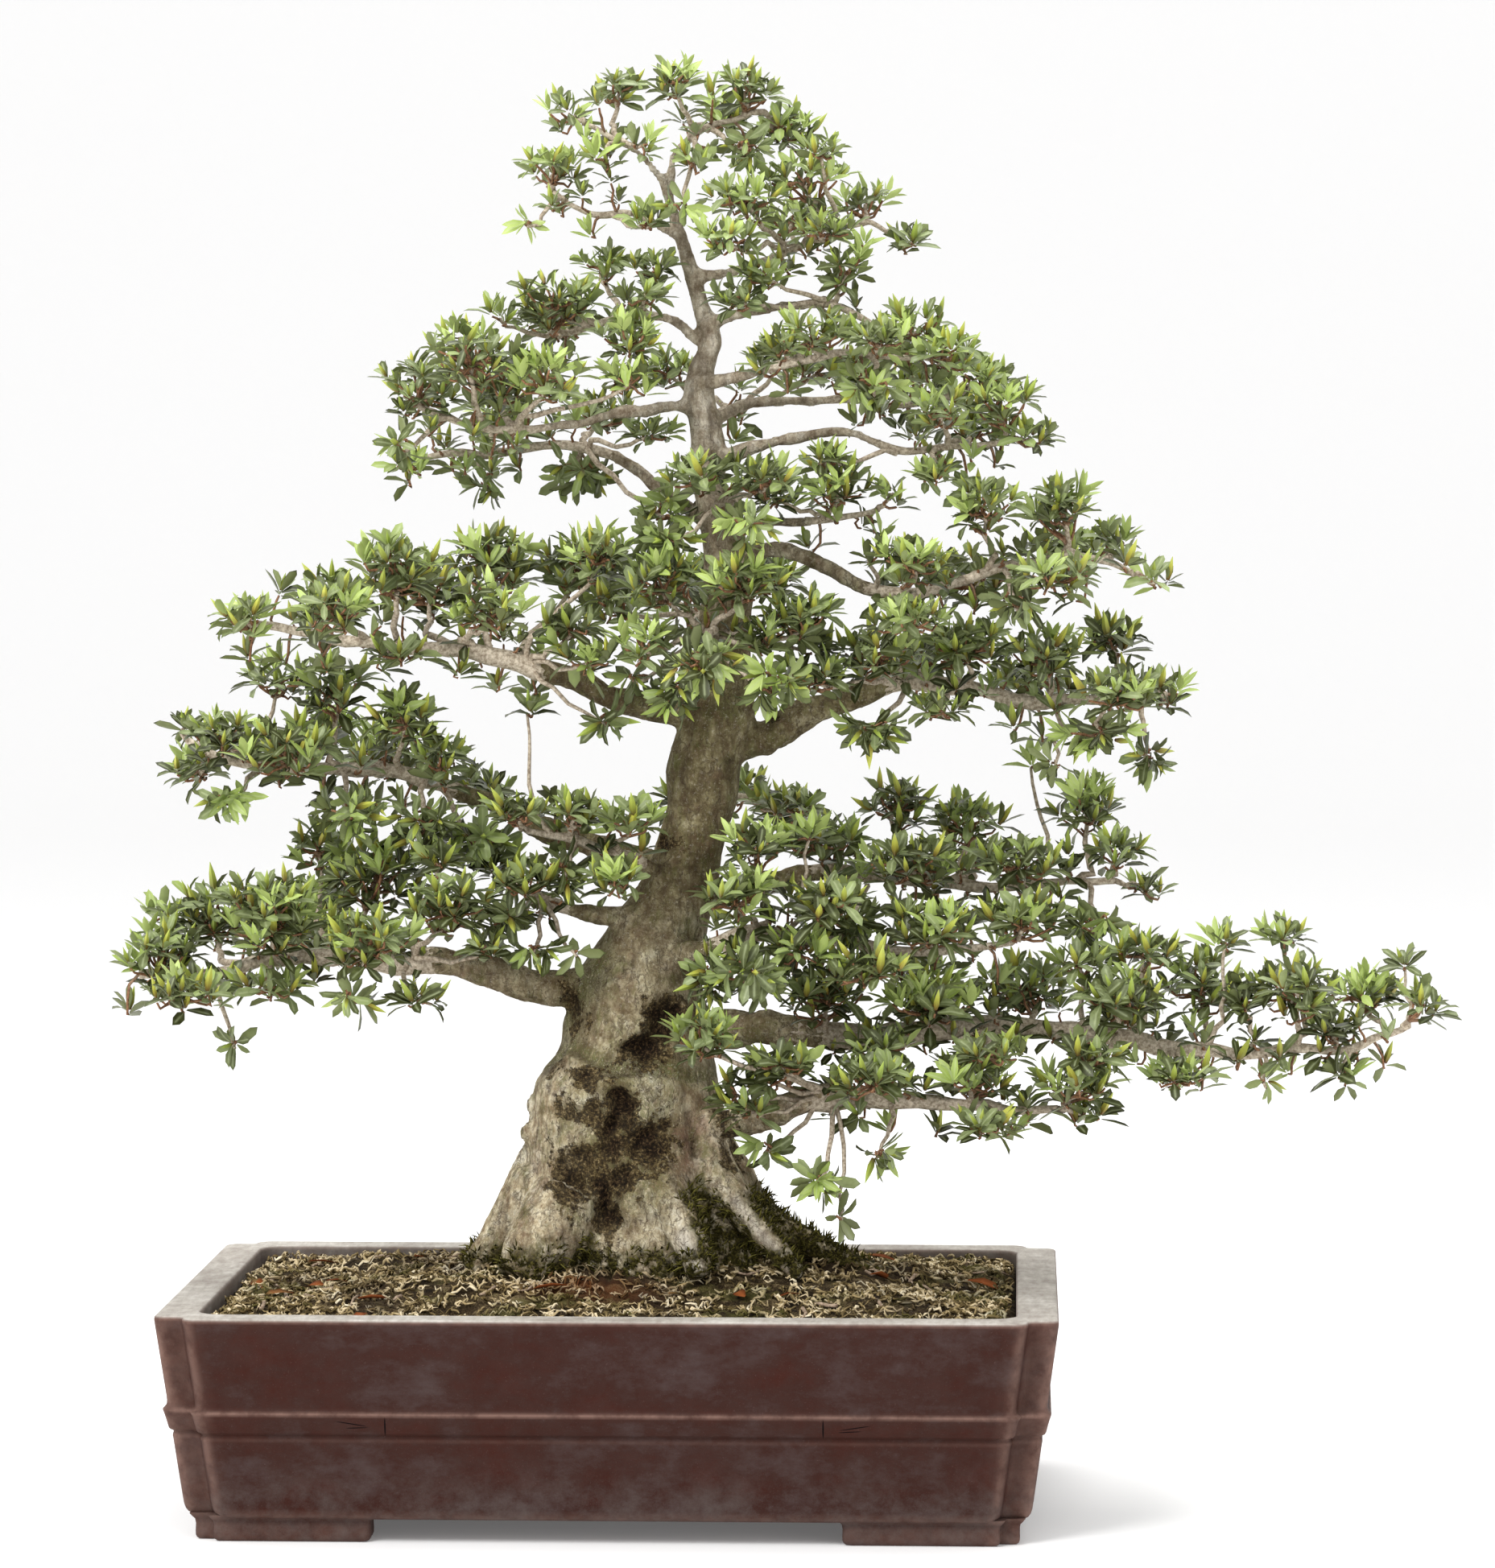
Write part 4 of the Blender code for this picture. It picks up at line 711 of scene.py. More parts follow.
def burr(place, radius):
    # a short fat tube that swells in the middle, which the remesh melts into the trunk
    t = np.linspace(-1, 1, 9)
    path = np.array(place) + np.outer(t * radius, (0, 0.15, 1))
    return taperedTube(path * cm, np.sqrt(np.maximum(1 - t**2, 0.01)) * radius * cm, 14)


def limbCurve(name):
    # the limb's whole route as a smooth curve in metres, and its radius, which tapers fast at first
    route, thick, thin, bare = limbs[name]
    curve = throughPoints(route, 6) * cm
    share = np.linspace(0, 1, len(curve))
    stray = np.stack([latticeNoise(curve, 0.026, seed, 2) for seed in (71, 72, 73)], axis=1)
    curve = curve + stray * foliage["limbStray"] * np.minimum(share * 6, 1)[:, None]
    swell = 1 + 0.17 * latticeNoise(curve, 0.012, 74, 2)
    radii = (thin + (thick - thin) * (1 - share) ** 1.25) * swell * cm
    return curve, radii, int((bare - 0.5) * 6)


def bareLimb(name):
    # the limb from inside the trunk to a little past its bare part, where it ends inside its stem
    curve, radii, end = limbCurve(name)
    end = min(end + 2, len(curve) - 1)
    radii = radii[:end + 1].copy()
    radii[:4] *= (1.22, 1.16, 1.1, 1.04)  # the flare where it leaves the trunk
    radii[-2:] *= (0.9, 0.7)
    return taperedTube(curve[:end + 1], radii, 16)


def distanceToLine(x, z, line):
    # the shortest distance from each (x, z) to a broken line
    line = np.asarray(line, float)
    best = np.full(len(x), 99.0)
    for a, b in zip(line, line[1:]):
        along = b - a
        share = np.clip(((x - a[0]) * along[0] + (z - a[1]) * along[1]) / (along @ along), 0, 1)
        best = np.minimum(best, np.hypot(x - a[0] - share * along[0], z - a[1] - share * along[1]))
    return best


def carveTrunk(places, normals):
    # moves each point: hollows and the groove sink into the front, the collar stands proud, and
    # the bark gets lumps, long furrows and crumbs along its normals
    x, _, z = (places / cm).T
    front = smoothStep(-normals[:, 1], 0.05, 0.55) * smoothStep(-np.abs(x - 1), -9.0, -7.0)
    sink, decay = np.zeros(len(x)), np.zeros(len(x))
    strayX = x + trunk["hollowStray"] * latticeNoise(places, 0.011, 43, 3)
    strayZ = z + trunk["hollowStray"] * latticeNoise(places, 0.011, 44, 3)
    for hx, hz, halfW, halfH, deep in hollows:
        apart = ((strayX - hx) / halfW) ** 2 + ((strayZ - hz) / halfH) ** 2
        sink = np.maximum(sink, deep * cm * np.exp(-apart**1.5))
        decay = np.maximum(decay, min(1.0, deep * 2.2) * np.exp(-apart / 3.2))
    wander = 0.25 * latticeNoise(places, 0.02, 40, 2)
    fromGroove = distanceToLine(x + wander, z, groove)
    sink = np.maximum(sink, trunk["grooveDepth"] * bell(fromGroove, trunk["grooveHalf"]))
    ragged = latticeNoise(places, 0.006, 41, 3)
    rot = np.clip((sink / 0.0060 - 0.30 + 0.5 * ragged) * 1.3, 0, 1) * front
    decay = np.clip(decay * front, 0, 1)
    pits = np.maximum(latticeNoise(places, 0.0055, 42, 3), 0)
    pits = np.maximum(rot, 0.7 * decay) * pits * trunk["pitDepth"]
    moved = places + np.outer(sink * front + pits, (0, 1, 0))
    collarLine = np.interp(x, *np.array(collar).T)
    step = smoothStep(collarLine - z, -0.1, 0.35) * smoothStep(z, 19.0, 23.8) * front
    step *= 1 - 0.7 * smoothStep(x, 0.6, 2.6)
    lump = latticeNoise(places, 0.016, 11, 3) * trunk["lump"]
    furrows = latticeNoise(places, (0.0042, 0.0042, 0.026), 12, 3)
    furrow = -np.maximum(-furrows - 0.05, 0) * 2.2 * trunk["furrow"]
    crumb = latticeNoise(places, 0.0032, 13, 2) * trunk["crumb"]
    low = 0.6 + 0.4 * smoothStep(-z, -46, -24)
    out = trunk["collarRise"] * step + (lump + furrow) * low + crumb * (0.6 + 1.4 * rot)
    # painted shade: the furrows darkened, and a dark line under the collar's upper left edge, which together
    # make the crease mark
    underCollarShade = 0.8 * bell(collarLine - z, 0.18) * front * smoothStep(-x, -2.4, -0.4)
    crease = np.clip(np.clip(-furrows * 0.7, 0, 1) + underCollarShade, 0, 1)
    return moved + normals * out[:, None], {"rot": rot, "decay": decay, "crease": crease}


def trunkTints(places, normals):
    # moss close above the soil and on the wide right root, pale bark on the root ridges, a damp green
    # run, collar and middle of the base, and a ruddy patch: soft steps across straight borders made
    # ragged by a noise, and bells round lines and places
    x, y, z = (places / cm).T
    front = normals[:, 1] < 0.3
    patch = latticeNoise(places, 0.018, 21, 4)
    moss = smoothStep(-z + patch, -15.7, -14.4)
    rightRoot = smoothStep(x + 0.83 * z, 21.5, 22.2) * smoothStep(-z, -19, -17.3)
    rightRoot *= smoothStep(normals[:, 2] + 0.5 * patch, -0.5, 0.1)
    wedge = smoothStep(x + 0.46 * z, 11.5, 12.1) * smoothStep(-x - 0.78 * z, -20.1, -19.5)
    hairy = wedge * smoothStep(-z + 0.6 * patch, -19.4, -18.0) * front
    pale = sum(strength * bell(distanceToLine(x, z, line), half) * (y < back)
               for line, half, strength, back in paleLines)
    collarLine = np.interp(x, *np.array(collar).T)
    damp = bell(distanceToLine(x, z, dampLine), 0.9) + bell(z - collarLine - 0.3, 0.55) * (z < 28)
    damp += 0.88 * np.exp(-((x - 0.4) / 3.3) ** 4 - ((z - 20.8) / 4.4) ** 4)
    return {
        "moss": np.clip(np.maximum(moss, rightRoot) + hairy, 0, 1), "pale": np.clip(pale, 0, 1),
        "upper": 0.66 * smoothStep(z - collarLine, 0, 1.0) + 0.34 * smoothStep(z, 31, 37),
        "crown": smoothStep(z, 48, 62), "damp": np.clip(damp * front, 0, 1),
        "ruddy": 0.95 * bell(x - 3.6, 1.5) * bell(z - 20.8, 2.4) * (normals[:, 1] < 0.2),
    }


def barkFinish():
    # pale cracked bark on the swollen base, olive-grey and red-brown patches above, pale limbs in the
    # crown, green film in damp places, brown-black crumbs in the wounds, moss low down
    finish, tree, shader = newFinish("bark", 0.85, 0.1)
    place, high = placeOf(tree), mark(tree, "crown")
    mid, fine = speckle(place, 150, 5, 0.75), speckle(place, 520, 4, 0.75)
    grain = speckle(placeOf(tree, (1, 1, 0.34)), 340, 5, 0.75)
    broad = levels(speckle(place, 45, 5, 0.7) + mid, 0.72, 1.28, 0.22, 0.78)
    lower = colourSteps(broad, [(0.30, (0.25, 0.18, 0.105)), (0.42, (0.47, 0.385, 0.245)),
                                (0.55, (0.68, 0.59, 0.41)), (0.70, (0.84, 0.77, 0.60))])
    upper = colourSteps(broad, [(0.30, (0.070, 0.050, 0.022)), (0.46, (0.170, 0.138, 0.070)),
                                (0.6, (0.270, 0.230, 0.122)), (0.75, (0.43, 0.385, 0.245))])
    crown = colourSteps(broad, [(0.3, (0.20, 0.150, 0.100)), (0.5, (0.47, 0.40, 0.30)),
                                (0.7, (0.74, 0.67, 0.55))])
    bark = blendColours(high, blendColours(mark(tree, "upper"), lower, upper), crown)
    patches = speckle(place, 62, 5, 0.7)
    ruddy = levels(patches, 0.50, 0.66, 0, 0.6) * levels(high, 0, 1, 1, 0.25)
    bark = blendColours(ruddy, bark, (0.165, 0.095, 0.062))
    ruddy = mark(tree, "ruddy") * levels(patches, 0.36, 0.5, 0.25, 1)
    bark = blendColours(ruddy, bark, (0.215, 0.120, 0.088))
    green = levels(speckle(placeOf(tree, (1, 1, 0.6)), 85, 5, 0.75), 0.48, 0.64, 0, 0.7)
    film = combine("MAXIMUM", green * levels(high, 0, 1, 1, 0.25),
                   mark(tree, "damp") * levels(fine, 0.36, 0.5, 0.1, 0.9))
    bark = blendColours(film, bark, (0.105, 0.110, 0.034))
    bark = blendColours(mark(tree, "pale"), bark, (0.62, 0.57, 0.49))
    stray = addNode(tree, "ShaderNodeTexNoise", {"Vector": place, "Scale": 210.0, "Detail": 4.0}, "Color")
    bent = addNode(tree, "ShaderNodeVectorMath", {
        0: stray, 1: (0.012, 0.012, 0.012), 2: placeOf(tree, (1, 1, 0.45))}, operation="MULTIPLY_ADD")
    plates = addNode(tree, "ShaderNodeTexVoronoi", {"Vector": bent, "Scale": 150.0, "Randomness": 1.0},
                     "Distance", feature="DISTANCE_TO_EDGE")
    crack = levels(plates + grain * 0.16, 0.07, 0.16, 1, 0) * levels(broad, 0.35, 0.6, 0.1, 0.7)
    crack = crack * levels(high, 0, 1, 1, 0.6)
    bark = blendColours(crack, bark, (0.10, 0.065, 0.04))
    dark = levels(grain, 0.34, 0.54, 0.6, 0.0) * levels(high, 0, 1, 1.0, 0.85)
    bark = blendColours(dark, bark, (0.085, 0.06, 0.038))
    bark = blendColours(levels(fine, 0.56, 0.72, 0, 0.4), bark, (0.70, 0.65, 0.53))
    # the crease mark paints shade in the furrows and under the collar
    bark = blendColours(mark(tree, "crease") * 0.6, bark, (0.06, 0.038, 0.024))
    rot = colourSteps(fine, [(0.36, (0.003, 0.002, 0.0012)), (0.50, (0.014, 0.008, 0.004)),
                             (0.60, (0.056, 0.034, 0.016)), (0.71, (0.16, 0.112, 0.052))])
    crumbs = colourSteps(fine, [(0.36, (0.008, 0.005, 0.003)), (0.47, (0.032, 0.020, 0.009)),
                                (0.57, (0.108, 0.076, 0.031)), (0.68, (0.33, 0.25, 0.13))])
    eaten = mark(tree, "decay") + levels(mid, 0.3, 0.7, -0.45, 0.45)
    bark = blendColours(levels(eaten, 0.45, 0.60, 0, 0.94), bark, crumbs)
    bark = blendColours(mark(tree, "rot"), bark, rot)
    moss = colourSteps(speckle(place, 700, 3), [(0.35, (0.010, 0.008, 0.002)), (0.5, (0.036, 0.030, 0.007)),
                                                (0.64, (0.100, 0.085, 0.020))])
    mossy = mark(tree, "moss") * levels(speckle(place, 170), 0.34, 0.5)
    paint(shader, blendColours(mossy, bark, moss))
    roughen(shader, grain * 0.5 + fine * 0.4 - crack * 0.5 + mid * 0.5, 0.85, 0.0022)
    return finish


def makeTrunk():
    # the trunk, roots, burrs and bare limbs melted into one skin, which is then carved and tinted
    parts = [trunkBody(), *map(rootRidge, rootRidges.values())]
    parts += [burr(row[:3], row[3]) for row in burrs] + [bareLimb(name) for name in limbs]
    rough = newObject("trunkRough", buildMesh("trunkRough", *joinParts(parts)))
    remesh = rough.modifiers.new("melt", "REMESH")
    remesh.mode, remesh.voxel_size = "VOXEL", trunk["voxel"]
    soften = rough.modifiers.new("soften", "SMOOTH")
    soften.factor, soften.iterations = 0.5, trunk["smoothing"]
    mesh = bakedMesh(rough)
    places, normals = vectorsOf(mesh.vertices, "co"), vectorsOf(mesh.vertex_normals, "vector")
    moved, marks = carveTrunk(places, normals)
    moved = moved + potMiddle
    marks.update(trunkTints(places, normals))
    mesh.vertices.foreach_set("co", moved.astype(np.float32).ravel())
    setMarks(mesh, marks)
    mesh.update()
    mesh.shade_smooth()
    addPiece("trunk_bark", mesh, barkFinish(), ["trunk"])
    print("trunk:", len(mesh.polygons), "faces")
    return moved, normals, marks["moss"]


# Foliage

foliage = {
    "rosettesPerArea": 3.9,  # rosettes for each square centimetre of half width times half height
    "stemPitch": 0.0070, "stemReach": (0.008, 0.024),
    "spacing": 0.0080, "tries": 8, "depthShare": 1.1,
    "edgeWidth": 0.45, "edgeHeight": 0.75,  # how far its rosettes stand inside a mound's outline, in cm
    "padDepth": 1.7, "limbStray": 0.0032,
    "leaves": 8, "leafShare": 0.80, "youngShare": 0.20, "highSize": 0.86, "highTone": 0.10,
    "leafLength": 0.0173, "leafWidth": 0.0063, "leafThickness": 0.0003, "fold": 0.24, "boxGap": 0.0002,
    "budLength": 0.0142, "budRadius": 0.0018,
    "twigRadius": 0.0008, "twigStray": 0.0007, "twigLead": 0.012,
    "branchletRadius": 0.0016, "branchletStray": 0.0011, "inwardLead": 0.020,
    "seed": 7,
}
goldenAngle = math.pi * (3 - math.sqrt(5))
# Each limb: its route from the trunk outwards in centimetres, its radius at both ends, and how
# many of its points are bare wood.
limbs = {
    "lowLeft": ([(1, 2, 29.6), (-2.6, 1.6, 29.2), (-6, 1, 29.8), (-9.5, 0.5, 30.6), (-14, 0, 31.1),
        (-19, -0.5, 31), (-24, -1, 30.5), (-27.6, -1.2, 30.2)], 1.45, 0.25, 4),
    "lowLeftTwig": ([(1.6, 1.4, 33.6), (-1, 0.2, 34), (-3, -0.4, 34.2), (-5, -0.6, 34.6),
        (-6.4, -0.8, 35.2)], 0.72, 0.22, 3),
    "leftLower": ([(2.6, 2.6, 36), (0, 4.2, 36.8), (-3.6, 4.8, 37.9), (-6.4, 4.6, 39.2), (-9, 4.2, 40.4),
        (-11.5, 3.8, 41.5), (-15, 3.5, 42), (-19.5, 3.6, 42), (-23.5, 4, 42.4),
        (-25.6, 4.2, 43.4)], 0.95, 0.22, 5),
    "leftInner": ([(3.4, 1.4, 36.2), (1.4, -0.6, 36.9), (-0.6, -1.6, 37.6), (-2.8, -2.2, 38.1),
        (-5, -2.4, 38.4)], 0.5, 0.2, 2),
    "leftMiddle": ([(5.2, 2.2, 44.9), (2.2, 1.4, 45.5), (-0.8, 0.2, 46.4), (-3.6, -0.8, 47.5),
        (-6.4, -1.5, 48.4), (-10, -2, 49.2), (-14, -2, 49.4), (-18, -2, 49.8),
        (-20.8, -2.2, 50.3)], 1.0, 0.22, 4),
    "upperLeftLow": ([(5, 2.2, 56.2), (3.2, 3, 57.3), (1.4, 3.6, 58.5), (-0.6, 4.1, 59.8),
        (-3.6, 4.5, 60.6), (-7.4, 4.6, 60.3), (-10.6, 4.4, 60), (-12.6, 4.2, 59.9)], 0.52, 0.18, 4),
    "upperLeft": ([(4.4, 2, 62.9), (1.6, 1.4, 62.7), (-1.2, 0.7, 62.2), (-4.2, 0, 61.9), (-7, -0.5, 61.6),
        (-9.4, -0.8, 61.9), (-11.6, -0.8, 62.8)], 0.44, 0.18, 4),
    "upperLeftTop": ([(4.9, 2, 66.3), (3.6, 2.2, 67.2), (2, 2.4, 68.1), (0.2, 2.6, 68.2), (-2, 2.6, 67.6),
        (-3.6, 2.6, 67.2)], 0.42, 0.16, 3),
    "crownLeft": ([(3.2, 2, 72.7), (1.8, 2, 73.4), (0.4, 1.9, 73.8), (-1.4, 1.7, 73.9), (-3.2, 1.6, 74.6),
        (-4.4, 1.6, 75.4)], 0.3, 0.14, 3),
    "crownTop": ([(2.5, 2, 75), (2.7, 2.1, 76.4), (3.3, 2.2, 77.8), (4.3, 2.2, 78.7), (5.8, 2.2, 79.2),
        (7.2, 2.3, 79.9)], 0.32, 0.14, 3),
    "crownWest": ([(2.5, 2, 75), (1.7, 1.8, 76.2), (0.4, 1.6, 77.3), (-1, 1.6, 78.2),
        (-2.4, 1.6, 79)], 0.28, 0.14, 3),
    "crownRight": ([(3.9, 2, 70.4), (5.8, 2.2, 70.6), (7.8, 2.5, 71.1), (9.6, 2.7, 71.8), (11.6, 2.9, 72.8),
        (13.6, 3, 73.2)], 0.38, 0.15, 3),
    "rightSeventh": ([(4.6, 2, 67.7), (6.4, 1.6, 68.1), (8.4, 1.2, 68.4), (10.4, 0.9, 68.7),
        (12.4, 0.8, 68.4), (14.6, 0.8, 67.4), (16.2, 0.8, 66.9)], 0.36, 0.15, 4),
    "rightSixth": ([(4.5, 1.6, 64.2), (6.2, 0.6, 64.5), (8, -0.4, 64.9), (10.2, -1.2, 65.3),
        (12.2, -1.6, 65.8), (14.4, -1.6, 65.7), (17, -1.4, 65.5)], 0.42, 0.16, 3),
    "rightFifth": ([(4.8, 2.3, 61.8), (6.8, 3.2, 62.8), (9, 4, 63.2), (11.2, 4.6, 63.2), (13.4, 5, 63.3),
        (15.8, 5.2, 63.2), (18.6, 5.4, 63.6)], 0.42, 0.17, 4),
    "rightFourth": ([(4.9, 1.8, 59.7), (7.4, 1.4, 60.6), (10, 1, 61.0), (12.2, 0.6, 61.3), (14, 0.2, 60.9),
        (16.6, 0, 60.4), (19.4, -0.4, 60.7), (22, -0.6, 61.1)], 0.45, 0.17, 5),
    "rightThirdTwig": ([(5.8, 1.4, 55.6), (8, 0.2, 56.2), (10.2, -0.6, 56.5), (12.4, -0.8, 56.7),
        (14.6, -0.8, 57)], 0.4, 0.16, 3),
    "rightShoulder": ([(6, 1.8, 53.4), (8.2, 0.8, 54.8), (10.6, -0.2, 54.5), (13.2, -0.6, 52.9),
        (16, -0.6, 52.3), (19.5, -0.4, 53.2), (23, 0, 54.2), (26.4, 0.4, 54.4),
        (29, 0.5, 53.2)], 0.6, 0.18, 4),
    "rightMiddle": ([(5.4, 2.4, 43.4), (8.2, 3, 43.9), (10.8, 3.2, 45.2), (13.6, 3.2, 46.6), (16.8, 3, 47),
        (20.2, 2.8, 46.6), (24, 3, 46), (28, 3.2, 46), (30.6, 3.4, 46.3)], 1.15, 0.22, 4),
    "rightLower": ([(3.4, 2.8, 34), (6, 4.2, 34.8), (9.4, 4.8, 35.6), (13, 4.6, 35.8), (17, 4.2, 35.4),
        (21, 4, 35), (25, 4.2, 35.6), (28.4, 4.4, 35.4)], 0.8, 0.2, 3),
    "frontRight": ([(2.4, 0.6, 31.4), (4.4, -1.8, 31.9), (7, -3.2, 32.7), (10.4, -3.6, 32.9),
        (14.5, -3.2, 32.2), (18.6, -2.6, 32), (22, -2.2, 32.4)], 0.7, 0.2, 2),
    "longRight": ([(1.8, 2, 26.4), (5.4, 1.6, 27), (9, 1, 27.2), (13, 0.6, 26.8), (18, 0.4, 27.2),
        (23, 0.4, 27.2), (28, 0.2, 26.7), (33, 0, 26.2), (37, 0, 25.9), (41, 0, 26.3),
        (44.6, 0, 27.6)], 1.2, 0.2, 3),
    "lowRight": ([(2.4, 0.8, 21.6), (6, -1.2, 22), (9.4, -2.8, 22.9), (13, -3.6, 23.4), (17, -4, 23.5),
        (21, -4.2, 23.2), (24.8, -4.2, 23.2)], 1.2, 0.22, 3),
    "centreFront": ([(5.7, 1.4, 49.4), (5.4, -1, 49.6), (5.2, -3, 49.9), (5.6, -4.4, 50.4)], 0.5, 0.25, 2),
    "centreHigh": ([(5.2, 1.6, 57), (5.6, -0.2, 57.2), (6.2, -1.6, 57.4),
        (6.8, -2.6, 57.6)], 0.36, 0.18, 2),
    "backLow": ([(3.4, 3.4, 38.6), (3.8, 6.4, 39.2), (4.6, 9, 39.7), (5.8, 11.4, 39.8),
        (6.8, 13.6, 39.8)], 0.7, 0.2, 2),
    "backMiddle": ([(5.6, 3, 50.4), (4.8, 5.6, 50.6), (3.8, 8, 50.7), (3.2, 10.4, 50.9),
        (3, 12.8, 51.2)], 0.6, 0.2, 2),
    "backHigh": ([(4.7, 2.6, 62), (5.4, 4.6, 62.5), (6, 6.6, 62.7), (6.4, 8.6, 63)], 0.42, 0.18, 2),
}
